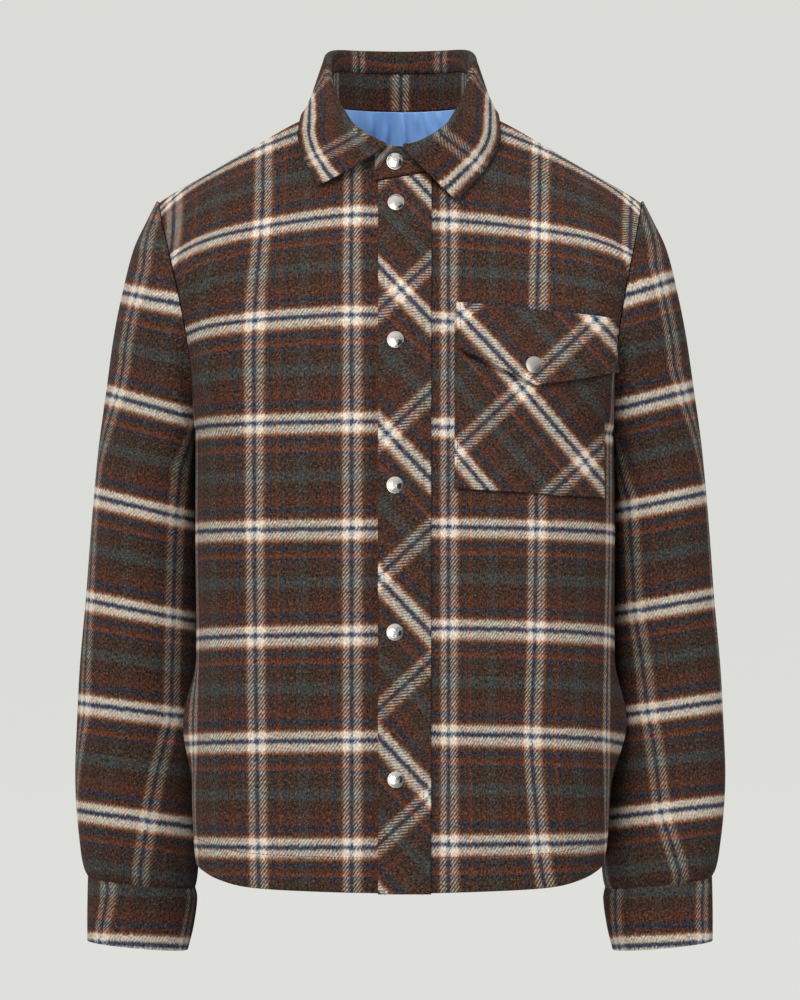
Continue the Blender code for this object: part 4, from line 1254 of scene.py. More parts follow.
def cuff(node, side, warp):
    """One cuff, two plies thick, a seam's gap below the sleeve."""
    rings = [ring(row, side) for row in CUFF]
    rings[0][:, 2] -= CURVED_SEAM
    base = tube(rings, 40, 0.0013)
    outward = tube_facing(base, -side)
    top, bottom = edge_distances(base)[:2]
    sink = rolled(np.minimum(top, bottom), 1.3 * EDGE_ROUND) + pressed(top, 0.0006, 0.002)
    for line in (bottom - CUFF_LINE, top - CUFF_LINE):
        sink = sink + pressed(line, *CUFF_GROOVE)
    sink = sink - waviness(base, 0.0006)
    outer = base - outward * sink[..., None]
    inner = base - outward * TWO_PLY
    cloth = tube_cloth(base, CUFF_ROWS, warp, side)
    piece = shell(node + "_cloth", outer, inner, cloth, SOFT_PLAID, closed=True)
    declare(piece, node)
    return {"outer": outer, "outward": outward, "bottom": bottom, "top": top}


CUFF_RIGHT = cuff("cuff_right", -1, CUFF_WARP_RIGHT)
CUFF_LEFT = cuff("cuff_left", 1, CUFF_WARP_LEFT)

# %% [markdown]
# ## What lies on the fronts
#
# The placket, the pocket and its flap are cut on the bias, so their plaid runs slantwise. They
# lie on the left front. A ray sent straight back from each point of the picture finds the front
# below, and the piece is made from those points, moved out by its gap and its thickness.

# %% Finding the front below
FAR = 1.0
LAID_MARGIN = 0.0030       # where a piece reaches past the front, its points come from this far inside


def grid_tree(points):
    """Search tree of a grid's faces."""
    rows, columns = points.shape[:2]
    number = np.arange(rows * columns).reshape(rows, columns)
    return BVHTree.FromPolygons(points.reshape(-1, 3).tolist(), corners(number).tolist())


LEFT_TREE = grid_tree(LEFT["outer"])
RIGHT_TREE = grid_tree(RIGHT["outer"])


def seat(trees, x, z):
    """Nearest place on the fronts behind a point of the picture, and the outward direction."""
    best = None
    for tree in trees:
        place, normal = tree.ray_cast(Vector((x, -FAR, z)), Vector((0.0, 1.0, 0.0)))[:2]
        if place is not None and (best is None or place.y < best[0].y):
            best = (place, normal if normal.y < 0 else -normal)
    return best


def laid_surface(x, z):
    """Points on the left front below a grid of x and z, and their outward directions."""
    y = np.full(x.shape, np.nan)
    for index in np.ndindex(x.shape):
        near_x = max(x[index], PLACKET_RIGHT_X + LAID_MARGIN)
        near_z = max(z[index], HEM_FRONT_Z + LAID_MARGIN)
        found = seat([LEFT_TREE], near_x, near_z)
        if found is not None:
            y[index] = found[0].y
    for r in range(len(y)):
        good = ~np.isnan(y[r])
        y[r] = np.interp(np.arange(y.shape[1]), np.flatnonzero(good), y[r][good])
    points = spot(x, y, z)
    outward = facing(points, -1)
    return points, outward * np.where(outward[..., 1:2] > 0, -1, 1)


print("front behind the pocket at y =", round(seat([LEFT_TREE], 0.12, -0.28)[0].y, 4))

# %% Laid pieces
LAID_GROOVE = (0.0006, 0.0009)


def edge_sink(x, z, lines, radius):
    """Rolled edges all round a laid piece, and pressed lines at given distances from its edges."""
    distances = edge_distances(spot(x, 0.0, z))
    sink = rolled(np.minimum.reduce(distances), radius)
    for edge, distance in lines:
        sink = sink + pressed(distances[edge] - distance, *LAID_GROOVE)
    return sink


def laid_piece(node, x, z, gap, thickness, sink, cloth, lift=0.0):
    """A flat piece sewn on the left front."""
    points, outward = laid_surface(x, z)
    height = gap + thickness - sink + lift
    outer = points + outward * np.asarray(height)[..., None]
    inner = points + outward * (np.zeros(x.shape) + gap + lift)[..., None]
    piece = shell(node + "_cloth", outer, inner, cloth(*seen(outer)), PLAID)
    declare(piece, node)
    return {"outer": outer, "outward": outward}


print("grooves", LAID_GROOVE[0], "deep")

# %% Placket
PLACKET_EDGE = 378         # column of its free edge
PLACKET_WEFT = (141, 265, 424, 578, 737, 895)
PLACKET_WARP = (177.5, 311, 441, 577, 710, 845)
PLACKET_WEFT_SLOPE = 1.04
PLACKET_WARP_SLOPE = 0.93
PLACKET_LINES = ((2, 0.0062), (3, 0.0075))


def placket():
    """Strip that covers the front edge, from the neck seam to the hem."""
    columns = places(PLACKET_RIGHT_X, PLACKET_LEFT_X, 26, 0.0013)
    rows = places(0.0, 1.0, 260, 0.0013 / 0.65)
    top = STAND_SEAM_Z + STAND_SEAM_SLOPE * columns - PLACKET_DROP
    x = np.broadcast_to(columns, (len(rows), len(columns))).copy()
    z = mix(top[None, :], HEM_FRONT_Z, rows[:, None])

    def cloth(column, row):
        weft = index_at(row - PLACKET_WEFT_SLOPE * (column - PLACKET_EDGE), PLACKET_WEFT)
        warp = index_at(row + PLACKET_WARP_SLOPE * (column - PLACKET_EDGE), PLACKET_WARP)
        return cloth_map(warp, weft)

    sink = edge_sink(x, z, PLACKET_LINES, 1.3 * EDGE_ROUND)
    return laid_piece("placket", x, z, 2 * SEAM, TWO_PLY, sink, cloth)


PLACKET = placket()

# %% Pocket
POCKET_LEFT_X = 0.0488
POCKET_RIGHT_X = 0.1835
POCKET_TOP_Z = (-0.1815, -0.1925)
POCKET_BOTTOM_Z = (-0.3395, -0.3485)
POCKET_LINES = ((1, 0.0030), (2, 0.0030), (3, 0.0030))
POCKET_GAP = 5 * SEAM
POCKET_PUFF = 0.0012
# x, z
FLAP_LOWER_EDGE = (
    (0.0510, -0.2120),
    (0.0563, -0.2175),
    (0.0880, -0.2325),
    (0.1215, -0.2475),
    (0.1550, -0.2420),
    (0.1900, -0.2335),
)
FLAP_EDGE_X, FLAP_EDGE_Z = np.array(FLAP_LOWER_EDGE).T
# Pixels of the bias plaid: its stripes' rows at one column, and how they slope
POCKET_EDGE = 455
POCKET_WEFT = (27, 170, 309, 452, 595)
POCKET_WARP = (186, 318, 450, 582, 714)
POCKET_WEFT_SLOPE = 1.17
FLAP_WEFT_SLOPE = 1.056
POCKET_WARP_SLOPE = 0.926


def pocket_cloth(weft_slope):
    """The bias plaid of the pocket or its flap."""
    def cloth(column, row):
        weft = index_at(row - weft_slope * (column - POCKET_EDGE), POCKET_WEFT)
        warp = index_at(row + POCKET_WARP_SLOPE * (column - POCKET_EDGE), POCKET_WARP)
        return cloth_map(warp, weft)
    return cloth


def pocket():
    """The bag, a little full in the middle."""
    columns = places(0.0, 1.0, 64, 0.0013 / 0.135)
    rows = places(0.0, 1.0, 74, 0.0013 / 0.157)
    part, down = np.meshgrid(columns, rows)
    x = mix(POCKET_LEFT_X, POCKET_RIGHT_X, part)
    z = mix(mix(*POCKET_TOP_Z, part), mix(*POCKET_BOTTOM_Z, part), down)
    sink = edge_sink(x, z, POCKET_LINES, EDGE_ROUND)
    below = np.interp(x, FLAP_EDGE_X, FLAP_EDGE_Z) - z
    sink = sink + pressed(below - 0.0010, 0.0030, 0.0023)
    full = np.sqrt(np.clip(np.sin(math.pi * part) * np.sin(math.pi * down), 0, 1))
    return laid_piece("chest_pocket", x, z, POCKET_GAP, WALL, sink - POCKET_PUFF * full,
                      pocket_cloth(POCKET_WEFT_SLOPE))


POCKET = pocket()

# %% Flap
FLAP_LEFT_X = 0.0492
FLAP_RIGHT_X = 0.1900
FLAP_TOP_Z = (-0.1732, -0.1860)
FLAP_LINES = ((1, 0.0042), (2, 0.0042), (3, 0.0042))
FLAP_GAP = POCKET_GAP + WALL + 5 * SEAM
FLAP_LIP = 0.0030
POCKET_SNAP = (0.1204, -0.2286)


def flap():
    """The flap, whose lower edge stands off the bag a little."""
    columns = places(0.0, 1.0, 72, 0.0013 / 0.14)
    rows = places(0.0, 1.0, 40, 0.0013 / 0.06)
    part, down = np.meshgrid(columns, rows)
    low_x = mix(FLAP_EDGE_X[0], FLAP_EDGE_X[-1], part)
    x = mix(mix(FLAP_LEFT_X, FLAP_RIGHT_X, part), low_x, down)
    z = mix(mix(*FLAP_TOP_Z, part), np.interp(low_x, FLAP_EDGE_X, FLAP_EDGE_Z), down)
    sink = edge_sink(x, z, FLAP_LINES, 1.2 * EDGE_ROUND)
    lift = FLAP_LIP * down ** 3 * (1 - 0.8 * bell((x - POCKET_SNAP[0]) / 0.02))
    return laid_piece("pocket_flap", x, z, FLAP_GAP, WALL, sink, pocket_cloth(FLAP_WEFT_SLOPE),
                      lift)


FLAP = flap()

# %% [markdown]
# ## The collar
#
# A shirt collar has two parts. The stand is a band round the neck that laps over at the front.
# The leaf is sewn to its top, rolls over and falls on the shoulders. Its profile is worked out
# at each angle round the neck: up from the seam, half a round for the roll, and down to an edge
# that a table places, as seen from the front. Where the fall lies on the fronts, it is held
# off them by its own thickness.

# %% Collar tables
STAND_RIGHT_END = 18.0
STAND_LEFT_END = -19.5
STAND_LAP = 0.0040
STAND_CLEAR = 0.0010
STAND_TUCK = 0.0006
STAND_PEAK = 0.0038
STAND_SAG = 0.0015         # how far its hidden start reaches below the neckline
STAND_CORNER = 0.0045      # how far its left end is rounded off
# angle, x, y, z of the leaf's outer edge behind, the same on both sides
EDGE_REAR = (
    (95.0, 0.0895, 0.0180, 0.0090),
    (115.0, 0.0855, 0.0500, 0.0080),
    (135.0, 0.0700, 0.0740, 0.0080),
    (155.0, 0.0400, 0.0870, 0.0080),
    (180.0, 0.0000, 0.0910, 0.0080),
)
# and in front, where y is left to the front that it lies on
EDGE_RIGHT = (
    (10.0, 0.0731, None, -0.0657),
    (22.0, 0.0830, None, -0.0495),
    (38.0, 0.0895, None, -0.0352),
    (55.0, 0.0945, -0.0440, -0.0145),
    (75.0, 0.0925, -0.0130, 0.0065),
) + EDGE_REAR
EDGE_LEFT = (
    (2.0, 0.0505, None, -0.0804),
    (14.0, 0.0632, None, -0.0658),
    (28.0, 0.0758, None, -0.0510),
    (42.0, 0.0866, None, -0.0368),
    (57.0, 0.0930, -0.0440, -0.0170),
    (75.0, 0.0922, -0.0130, 0.0065),
) + EDGE_REAR
FRONTS = [LEFT_TREE, RIGHT_TREE]
print("edge rows", len(EDGE_RIGHT) + len(EDGE_LEFT))

# %% Stand
STAND_COLUMNS = 170
STAND_ROWS = 16
STAND_ARC = 0.0907
STAND_SETT = (45.3, 36.2)  # pixels of the sett at the stand's top, and from there to its base


def lap_share(turn):
    """How far the layers in front have stepped out for the left end, from 0 to 1."""
    return float(ease((52 - turn) / 19))


def stand_point(index, part, depth):
    """Point on the stand; index and part run from 0 to 1 along it and down it."""
    turned = (360 + STAND_RIGHT_END - STAND_LEFT_END) * index
    angle = STAND_RIGHT_END - turned
    turn = (angle + 180) % 360 - 180
    top = float(smooth(NECK, abs(turn), 2))
    neckline = float(smooth(NECK, abs(turn), 1))
    base = neckline - STAND_SAG * float(ease((85 - turned) / 20))
    inset = STAND_TUCK * float(ease((angle + 50) / 30))
    if turned > 270:
        inset = -STAND_LAP * lap_share(turn)
        seam = STAND_SEAM_Z + STAND_SEAM_SLOPE * neck_ring(turn)[0]
        base = mix(base, seam, float(ease((30 - turn) / 6)))
        top += STAND_PEAK * float(ease(2.6 - 2.6 * abs(turn + 4) / 8))
    top -= STAND_CORNER * float(ease((index - 0.975) / 0.025)) ** 2
    z = mix(top, base, part)
    x, y = neck_ring(turn, inset + depth)
    if turned > 270 and z < neckline:
        inner_x, inner_y = neck_ring(turn, inset + TWO_PLY)
        found = seat(FRONTS, inner_x, z)
        if found is not None:
            y -= max(inner_y - found[0].y + STAND_CLEAR, 0.0)
    return x, y, z


def stand():
    """Band round the neck, from its right end under the left to its left end in front."""
    along = places(0.0, 1.0, STAND_COLUMNS, 0.0013 / 0.5)
    down = places(0.0, 1.0, STAND_ROWS, 0.0013 / 0.03)
    outer = np.array([[stand_point(i, part, 0.0) for i in along] for part in down])
    inner = np.array([[stand_point(i, part, TWO_PLY) for i in along] for part in down])
    top, bottom, left, right = edge_distances(outer)
    sink = rolled(np.minimum.reduce([top, bottom, left, right]), 1.2 * EDGE_ROUND)[..., None]
    thick = (inner - outer) / TWO_PLY
    back = np.argmin(np.abs(outer[0, :, 0]) + (outer[0, :, 1] < 0))
    lean = (0.003 + 0.024 * down[:, None]) * ease((along - 0.93) / 0.04)
    u = (lean - left + left[:, back:back + 1]) / STAND_ARC
    v = np.zeros(top.shape) + (STAND_SETT[0] + STAND_SETT[1] * down[:, None]) / SETT_PIXELS
    shaped = outer + thick * sink
    piece = shell("collar_stand_cloth", shaped, inner, cloth_map(u, v), PLAID)
    declare(piece, "collar_stand")
    return shaped


STAND_TREE = grid_tree(stand())

# %% Leaf's profile
ROLL_STEPS = 14
FALL_STEPS = 40
ROLL_WIDTH = 0.0092
LEAF_LIFT = 0.0045
LEAF_LYING_Y = -0.030
LEAF_BOW = 0.0040


def edge_point(angle):
    """Outer edge of the leaf by the signed angle from the centre front."""
    table = EDGE_RIGHT if angle < 0 else EDGE_LEFT
    side = -1 if angle < 0 else 1
    turn = abs(angle)
    x = float(smooth(table, turn, 1))
    z = float(smooth(table, turn, 3))
    rear = [(row[0], row[2]) for row in table if row[2] is not None]
    if turn < rear[0][0]:
        found = seat(FRONTS, side * x, z)
        point = found[0] + found[1] * LEAF_LIFT
        reach = float(ease((turn - rear[0][0] + 14) / 14))
        return Vector((point.x, mix(point.y, float(smooth(rear, rear[0][0], 1)), reach), point.z))
    return Vector((side * x, float(smooth(rear, turn, 1)), z))


def leaf_profile(angle, thickness):
    """Points from the leaf's seam inside the neck, over the roll and down to its outer edge."""
    turn = abs(angle)
    seam_z = float(smooth(NECK, turn, 2)) + 3 * SEAM
    roll_z = float(smooth(NECK, turn, 3)) + SEAM
    step_out = STAND_LAP * lap_share(turn)
    near = Vector((*neck_ring(angle, TWO_PLY - step_out), 0.0))
    far = Vector((*neck_ring(angle, TWO_PLY - step_out - ROLL_WIDTH), 0.0))
    roll_radius = 0.5 * ROLL_WIDTH
    centre_z = max(roll_z - roll_radius, seam_z + SEAM)
    upward = Vector((0.0, 0.0, 1.0))
    rise = near.lerp(far, thickness / ROLL_WIDTH)
    points = [rise + upward * mix(seam_z, centre_z, i / 4) for i in range(5)]
    radius = roll_radius - thickness
    for step in range(1, ROLL_STEPS):
        sweep = math.pi * step / ROLL_STEPS
        part = 0.5 - radius / ROLL_WIDTH * math.cos(sweep)
        points.append(near.lerp(far, part) + upward * (centre_z + radius * math.sin(sweep)))
    start = near.lerp(far, 1 - thickness / ROLL_WIDTH) + upward * centre_z
    edge = edge_point(angle)
    outward = (far - near).normalized()
    under = (edge - start).cross(Vector((-outward.y, outward.x, 0.0))).normalized()
    if under.dot(outward) > 0:
        under = -under
    bow = LEAF_BOW * (1 - float(bell((turn - 88) / 50)))
    fine = places(0.0, 1.0, FALL_STEPS, 0.0013 / 0.06)
    for along in fine:
        point = start + (edge + under * thickness - start) * along - under * bow * math.sin(math.pi * along)
        if point.y < LEAF_LYING_Y:
            found = seat(FRONTS, point.x, point.z)
            if found is not None and abs(found[1].y) > 0.15:
                lift = found[1] * (LEAF_LIFT - thickness)
                point.y = min(point.y, found[0].y + lift.y)
        points.append(point)
    return points


print("leaf's right point", [round(part, 4) for part in edge_point(-EDGE_RIGHT[0][0])])

# %% Leaf
LEAF_COLUMNS = 84
LEAF_CREAM = 0.0172        # from the outer edge to the middle of the pale stripe


def leaf():
    """Collar leaf from the right point, round the back of the neck, to the left point."""
    steps = places(0.0, 1.0, LEAF_COLUMNS, 0.0013 / 0.23)
    steps = steps[steps <= 1 - 0.9 / LEAF_COLUMNS]
    angles = [-mix(EDGE_RIGHT[0][0], 180, part ** 1.1) for part in steps]
    angles += [-180.0]
    angles += [mix(EDGE_LEFT[0][0], 180, part ** 1.1) for part in steps[::-1]]
    outer = np.array([[tuple(point) for point in leaf_profile(angle, 0.0)] for angle in angles])
    inner = np.array([[tuple(point) for point in leaf_profile(angle, TWO_PLY)] for angle in angles])
    outer = outer.transpose(1, 0, 2)
    inner = inner.transpose(1, 0, 2)
    top, bottom, left, right = edge_distances(outer)
    arc = edge_distances(outer[2:4])[2][:1]
    middle = arc[0, len(steps)]
    u = -np.broadcast_to((arc - middle) / WARP_ARC - 0.5, top.shape)
    v = (LEAF_CREAM - bottom) / SETT
    edges = np.minimum(bottom, np.minimum(left, right))
    sink = rolled(edges, 1.3 * EDGE_ROUND) + pressed(edges - 0.006, 0.0004, 0.0016)
    shaped = outer + unit(inner - outer) * (sink - waviness(outer, 0.0004))[..., None]
    piece = shell("collar_leaf_cloth", shaped, inner, cloth_map(u, v), SOFT_PLAID)
    declare(piece, "collar_leaf")


leaf()

# %% [markdown]
# ## Snaps
#
# A snap cap is pressed from sheet metal: a low dome with a rolled rim. A turned shape is the
# Screw modifier's work, from a profile of a few points. Polished metal shows little of itself
# and much of the room, so small dents in the dome, made with a noise, break up what it mirrors.
# The pocket's cap is flatter and duller than the six down the front.

# %% Metal
def metal(name, colour, roughness, dent):
    """Plated metal with shallow dents and a fine haze."""
    material, tree, shader = start_material(name)
    place = add_node(tree, "ShaderNodeTexCoord").outputs["Object"]
    dents = noise(tree, place, (190, 190, 190), 2.0, 0.6)
    haze = noise(tree, place, (1500, 1500, 1500), 2.0, 0.6)
    bump = add_node(tree, "ShaderNodeBump", {"Strength": dent, "Distance": 0.0016}, {"Height": dents})
    tree.links.new(bump.outputs[0], shader.inputs["Normal"])
    ends = {1: 0.3, 2: 0.7, 3: roughness * 0.7, 4: roughness * 1.4}
    worn = add_node(tree, "ShaderNodeMapRange", ends, {0: haze})
    tree.links.new(worn.outputs[0], shader.inputs["Roughness"])
    shader.inputs["Base Color"].default_value = (*linear(colour), 1.0)
    shader.inputs["Metallic"].default_value = 1.0
    return material


POLISHED = metal("polished_snap_metal", (226, 221, 212), 0.16, 0.45)
DULL = metal("dull_snap_metal", (206, 200, 188), 0.34, 0.12)
print("metals", POLISHED.name, "and", DULL.name)

# %% Snap caps
SNAP_RADIUS = 0.0077
SNAP_HEIGHT = 0.0030
# Out and up from the middle of the dome to the rim and back under it
SNAP_PROFILE = (
    (0, 1.0),
    (0.22, 0.98),
    (0.45, 0.90),
    (0.66, 0.74),
    (0.80, 0.56),
    (0.88, 0.42),
    (0.90, 0.36),
    (0.94, 0.38),
    (0.985, 0.30),
    (1.0, 0.18),
    (0.98, 0.05),
    (0.93, 0.0),
    (0, 0),
)
# x, z
SNAPS = (
    (-0.0046, -0.0434),
    (-0.0036, -0.0810),
    (-0.0041, -0.2062),
    (-0.0045, -0.3366),
    (-0.0045, -0.4683),
    (-0.0036, -0.6005),
)
SNAP_STEPS = 48
SNAP_SUNK = 0.0003


def snap(name, node_name, tree, x, z, finish, flatness=1.0):
    """Cap seated on the cloth behind x and z."""
    profile = bpy.data.meshes.new(name + "_profile")
    points = [(out * SNAP_RADIUS, 0.0, up * SNAP_HEIGHT * flatness) for out, up in SNAP_PROFILE]
    profile.from_pydata(points, [(i, i + 1) for i in range(len(points) - 1)], [])
    turned = add_object(name + "_turned", profile)
    screw = turned.modifiers.new("turned", "SCREW")
    screw.steps = SNAP_STEPS
    screw.render_steps = SNAP_STEPS
    screw.use_merge_vertices = True
    screw.merge_threshold = 0.00001
    graph = bpy.context.evaluated_depsgraph_get()
    mesh = bpy.data.meshes.new_from_object(turned.evaluated_get(graph))
    bpy.data.objects.remove(turned)
    place, normal = seat([tree], x, z)
    across = Vector((1.0, 0.0, 0.0))
    across = (across - normal * across.dot(normal)).normalized()
    turn = Matrix((across, normal.cross(across), normal)).transposed().to_4x4()
    mesh.transform(Matrix.Translation(place - normal * SNAP_SUNK) @ turn)
    mesh.shade_smooth()
    mesh.materials.clear()
    mesh.materials.append(finish)
    cap = add_object(name, mesh)
    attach(cap, "root")
    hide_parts(node_name)


PLACKET_TREE = grid_tree(PLACKET["outer"])
for number, (snap_x, snap_z) in enumerate(SNAPS, 1):
    under = STAND_TREE if number == 1 else PLACKET_TREE
    snap("snap_cap_%d" % number, "snap_%d" % number, under, snap_x, snap_z, POLISHED)
snap("snap_cap_pocket", "snap_pocket", grid_tree(FLAP["outer"]), *POCKET_SNAP, DULL, 0.6)
print("snaps", len(SNAPS) + 1)

# %% [markdown]
# ## Stitching
#
# Rows of stitches repeat along a path, which is what Geometry Nodes are good at. The tree turns
# a line into evenly spaced points, puts a short thread on each, turned along the line with a
# little unevenness, and makes the threads real. The lines come from the cloth's own surfaces:
# `level_line` finds where a distance over a grid is zero, column by column.

# %% Thread
def thread():
    """Dull dark brown sewing thread."""
    material, tree, shader = start_material("brown_thread")
    place = add_node(tree, "ShaderNodeTexCoord").outputs["Object"]
    shade = noise(tree, place, (1400, 1400, 1400), 2.0, 0.6)
    colour = blend_colours(tree, shade, linear((38, 28, 24)), linear((74, 56, 46)))
    tree.links.new(colour, shader.inputs["Base Color"])
    shader.inputs["Roughness"].default_value = 0.7
    return material


THREAD = thread()
print("thread", THREAD.name)

# %% Stitch nodes
STITCH_UNEVEN = 0.07


def stitch_tree():
    """Geometry Nodes that sew a line; its inputs are the spacing, length, thickness and finish."""
    tree = bpy.data.node_groups.new("stitch_line", "GeometryNodeTree")
    tree.interface.new_socket("Geometry", in_out="INPUT", socket_type="NodeSocketGeometry")
    for label in ("Stitch Spacing", "Stitch Length", "Thread Radius"):
        tree.interface.new_socket(label, in_out="INPUT", socket_type="NodeSocketFloat")
    tree.interface.new_socket("Thread", in_out="INPUT", socket_type="NodeSocketMaterial")
    tree.interface.new_socket("Geometry", in_out="OUTPUT", socket_type="NodeSocketGeometry")
    inputs = tree.nodes.new("NodeGroupInput").outputs
    curve = add_node(tree, "GeometryNodeMeshToCurve", links={"Mesh": inputs["Geometry"]})
    even = add_node(tree, "GeometryNodeResampleCurve", links={"Curve": curve.outputs[0]}, mode="LENGTH")
    tree.links.new(inputs["Stitch Spacing"], even.inputs["Length"])
    half = add_node(tree, "ShaderNodeMath", {1: 0.5}, {0: inputs["Stitch Length"]}, operation="MULTIPLY")
    sizes = {"X": inputs["Thread Radius"], "Y": inputs["Thread Radius"], "Z": half.outputs[0]}
    size = add_node(tree, "ShaderNodeCombineXYZ", links=sizes)
    bead = add_node(tree, "GeometryNodeMeshUVSphere", {"Segments": 6, "Rings": 5, "Radius": 1.0})
    shape = {"Geometry": bead.outputs["Mesh"], "Scale": size.outputs[0]}
    stitch = add_node(tree, "GeometryNodeTransform", links=shape)
    tangent = add_node(tree, "GeometryNodeInputTangent")
    uneven = add_node(tree, "FunctionNodeRandomValue", {"Seed": 7}, data_type="FLOAT_VECTOR")
    uneven.inputs[0].default_value = (-STITCH_UNEVEN,) * 3
    uneven.inputs[1].default_value = (STITCH_UNEVEN,) * 3
    way = add_node(tree, "ShaderNodeVectorMath", links={0: tangent.outputs[0], 1: uneven.outputs[0]})
    turn = add_node(tree, "FunctionNodeAlignRotationToVector", links={"Vector": way.outputs[0]}, axis="Z")
    parts = {"Points": even.outputs[0], "Instance": stitch.outputs[0], "Rotation": turn.outputs[0]}
    sewn = add_node(tree, "GeometryNodeInstanceOnPoints", links=parts)
    real = add_node(tree, "GeometryNodeRealizeInstances", links={"Geometry": sewn.outputs[0]})
    soft = add_node(tree, "GeometryNodeSetShadeSmooth", links={"Geometry": real.outputs[0]})
    finish = {"Geometry": soft.outputs[0], "Material": inputs["Thread"]}
    done = add_node(tree, "GeometryNodeSetMaterial", links=finish)
    output = tree.nodes.new("NodeGroupOutput")
    tree.links.new(done.outputs[0], output.inputs[0])
    return tree


STITCH_TREE = stitch_tree()
print("stitch nodes", len(STITCH_TREE.nodes))

# %% Sewing
THREAD_RADIUS = 0.00030
STITCH_STEP = 0.0033
STITCH_LENGTH = 0.0025


def level_line(points, outward, distance, lift=0.0001):
    """Points where a distance that falls down the rows is zero, one for each column."""
    line = []
    for c in range(points.shape[1]):
        order = np.argsort(distance[:, c])
        values = distance[order, c]
        if values[0] > 0 or values[-1] < 0:
            continue
        place = [np.interp(0.0, values, points[order, c, axis]) for axis in range(3)]
        way = [np.interp(0.0, values, outward[order, c, axis]) for axis in range(3)]
        line.append(np.array(place) + np.array(way) * lift)
    return line


def sew(name, lines):
    """Stitches along lines of points, as one mesh."""
    points = [point for line in lines for point in line]
    edges = []
    start = 0
    for line in lines:
        edges += [(start + i, start + i + 1) for i in range(len(line) - 1)]
        start += len(line)
    mesh = bpy.data.meshes.new(name + "_line")
    mesh.from_pydata([tuple(point) for point in points], edges, [])
    guide = add_object(name + "_line", mesh)
    modifier = guide.modifiers.new("sew", "NODES")
    modifier.node_group = STITCH_TREE
    values = {"Stitch Spacing": STITCH_STEP, "Stitch Length": STITCH_LENGTH,
              "Thread Radius": THREAD_RADIUS, "Thread": THREAD}
    for item in STITCH_TREE.interface.items_tree:
        if item.in_out == "INPUT" and item.name in values:
            modifier[item.identifier] = values[item.name]
    graph = bpy.context.evaluated_depsgraph_get()
    sewn = bpy.data.meshes.new_from_object(guide.evaluated_get(graph))
    bpy.data.objects.remove(guide)
    sewn.name = name
    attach(add_object(name, sewn), "root")
    print(name, "triangles", sum(len(face.vertices) - 2 for face in sewn.polygons))


print("a stitch every", STITCH_STEP)

# %% Sewn rows
SEAM_MARGIN = 4            # columns of a panel that its hem line leaves free at both ends


def flipped(piece, distance):
    """Line along a grid's columns instead of its rows."""
    return level_line(piece["outer"].transpose(1, 0, 2), piece["outward"].transpose(1, 0, 2), distance.T)


def waist_rows(piece):
    """The part of the waist line that is sewn."""
    shown = piece["waist_share"].max(axis=0) > 0.5
    return level_line(piece["outer"][:, shown], piece["outward"][:, shown], piece["waist"][:, shown])


def hem_rows(piece):
    """The line above the hem, short of the side seams and the layers in front."""
    columns = slice(SEAM_MARGIN, -SEAM_MARGIN)
    return level_line(piece["outer"][:, columns], piece["outward"][:, columns], piece["hem"][:, columns])


def laid_rows(piece, lines):
    """Lines at given distances from a laid piece's edges."""
    found = []
    distances = edge_distances(piece["outer"])
    for edge, distance in lines:
        gap = distances[edge] - distance
        found.append(level_line(piece["outer"], piece["outward"], gap) if edge < 2 else flipped(piece, gap))
    return found


def cuff_rows(piece):
    """The rings near a cuff's lower and upper edge."""
    gaps = (piece["bottom"] - CUFF_LINE, piece["top"] - CUFF_LINE)
    return [level_line(piece["outer"], piece["outward"], gap) for gap in gaps]


sew("hem_stitches", [hem_rows(RIGHT), hem_rows(LEFT), hem_rows(BACK)])
sew("waist_stitches", [waist_rows(RIGHT), waist_rows(LEFT)])
sew("placket_stitches", laid_rows(PLACKET, PLACKET_LINES))
sew("pocket_stitches", laid_rows(POCKET, POCKET_LINES))
sew("flap_stitches", laid_rows(FLAP, FLAP_LINES))
sew("cuff_right_stitches", cuff_rows(CUFF_RIGHT))
sew("cuff_left_stitches", cuff_rows(CUFF_LEFT))

# %% [markdown]
# ## Room and light
#
# The garment hangs in front of a pale grey room that shows no corner: a wide floor that curves
# up into the wall all round, so every view has the same ground. The light is soft and even: a
# large lamp above the front and a little to the left, a weaker one low at the right, and one
# above and behind that keeps the back alive. The room itself lights nothing, or its colour would
# wash out the folds; the world does that instead. The world also holds what the polished snaps
# show of a studio, a bright panel at the left and a dark stand at the right.

# %% Stage
FLOOR_Z = -1.25
ROOM_RADIUS = 10.0
ROOM_ROUND = 3.0
ROOM_HEIGHT = 8.0
ROOM_SIDES = 64
ROOM_COLOUR = (220, 221, 216)
ROOM_GLOW = 0.955


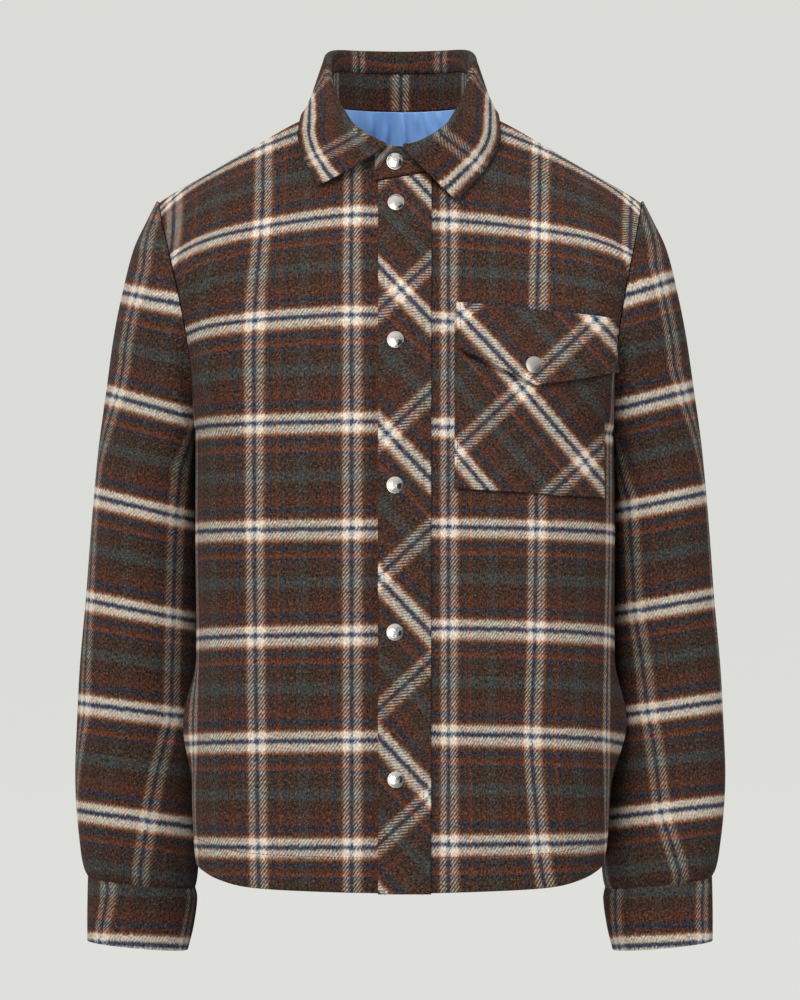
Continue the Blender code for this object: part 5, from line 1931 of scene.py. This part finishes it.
def room():
    """Floor, wall and dome turned from one profile."""
    turn = np.linspace(0, 0.5 * math.pi, 14)[1:]
    inner = ROOM_RADIUS - ROOM_ROUND
    profile = [(r, FLOOR_Z) for r in np.linspace(0.0, inner, 12)]
    profile += [(inner + ROOM_ROUND * math.sin(a), FLOOR_Z + ROOM_ROUND * (1 - math.cos(a))) for a in turn]
    profile += [(ROOM_RADIUS, z) for z in np.linspace(FLOOR_Z + ROOM_ROUND, ROOM_HEIGHT, 6)[1:]]
    profile += [(ROOM_RADIUS * math.cos(a), ROOM_HEIGHT + 4 * math.sin(a)) for a in turn]
    angles = np.linspace(0, 2 * math.pi, ROOM_SIDES + 1)[:-1]
    points = [(r * math.cos(a), r * math.sin(a), z) for r, z in profile for a in angles]
    number = np.arange(len(points)).reshape(len(profile), ROOM_SIDES)
    faces = np.concatenate([quads(low, high) for low, high in zip(number[:-1], number[1:])])
    mesh = bpy.data.meshes.new("room")
    mesh.from_pydata(points, [], faces.tolist())
    mesh.shade_smooth()
    material, _, shader = start_material("pale_room")
    shader.inputs["Base Color"].default_value = (0.02, 0.02, 0.02, 1)
    shader.inputs["Roughness"].default_value = 1.0
    shader.inputs["Emission Color"].default_value = (*linear(ROOM_COLOUR), 1)
    shader.inputs["Emission Strength"].default_value = ROOM_GLOW
    mesh.materials.append(material)
    stage = add_object("room", mesh)
    stage.visible_diffuse = False
    stage.visible_glossy = False
    stage.visible_shadow = False


room()
print("room radius", ROOM_RADIUS)

# %% Lamps
AIM = Vector((0, 0, -0.35))


def lamp(name, place, size, watts):
    """Square soft lamp that points at the garment."""
    data = bpy.data.lights.new(name, "AREA")
    data.size = size
    data.energy = watts
    made = add_object(name, data)
    made.location = place
    made.rotation_mode = "QUATERNION"
    made.rotation_quaternion = (AIM - Vector(place)).to_track_quat("-Z", "Y")
    made.visible_camera = False
    made.visible_glossy = False
    print(name, watts, "W")


lamp("key_lamp", (-1.1, -3.4, 2.4), 1.4, 120)
lamp("right_lamp", (2.9, -2.6, 0.6), 1.6, 84)
lamp("back_lamp", (0.6, 3.2, 1.9), 2.2, 55)

# %% World
WORLD_STRENGTH = 0.68
WORLD_DARK = (0.22, 0.23, 0.25)
WORLD_PALE = (1.25, 1.26, 1.28)


def patch(tree, way, middle, edge):
    """1 inside a round patch of the world and 0 outside it."""
    toward = add_node(tree, "ShaderNodeVectorMath", {1: middle}, {0: way}, operation="DOT_PRODUCT")
    ends = {1: edge[0], 2: edge[1]}
    inside = {0: toward.outputs["Value"]}
    return add_node(tree, "ShaderNodeMapRange", ends, inside, interpolation_type="SMOOTHSTEP").outputs[0]


def studio():
    """Even light that is paler above and at the left, with what the snaps mirror."""
    world = bpy.data.worlds.new("studio")
    bpy.context.scene.world = world
    world.use_nodes = True
    tree = world.node_tree
    background = tree.nodes["Background"]
    background.inputs["Strength"].default_value = WORLD_STRENGTH
    way = add_node(tree, "ShaderNodeTexCoord").outputs["Generated"]
    axes = add_node(tree, "ShaderNodeSeparateXYZ", links={0: way})
    slope = calc(tree, "MULTIPLY_ADD", axes.outputs[0], -0.40, 0.60)
    slope = calc(tree, "MULTIPLY_ADD", axes.outputs[2], 0.30, slope)
    sky = blend_colours(tree, slope, WORLD_DARK, WORLD_PALE)
    bright_panel = patch(tree, way, (-0.53, -0.83, -0.17), (0.80, 0.90))
    sky = blend_colours(tree, bright_panel, sky, (2.5, 2.5, 2.45))
    dark_stand = patch(tree, way, (0.62, -0.77, -0.15), (0.86, 0.94))
    sky = blend_colours(tree, dark_stand, sky, (0.04, 0.04, 0.05))
    tree.links.new(sky, background.inputs["Color"])


studio()
bpy.context.scene.view_settings.view_transform = "Standard"
print("world strength", WORLD_STRENGTH)
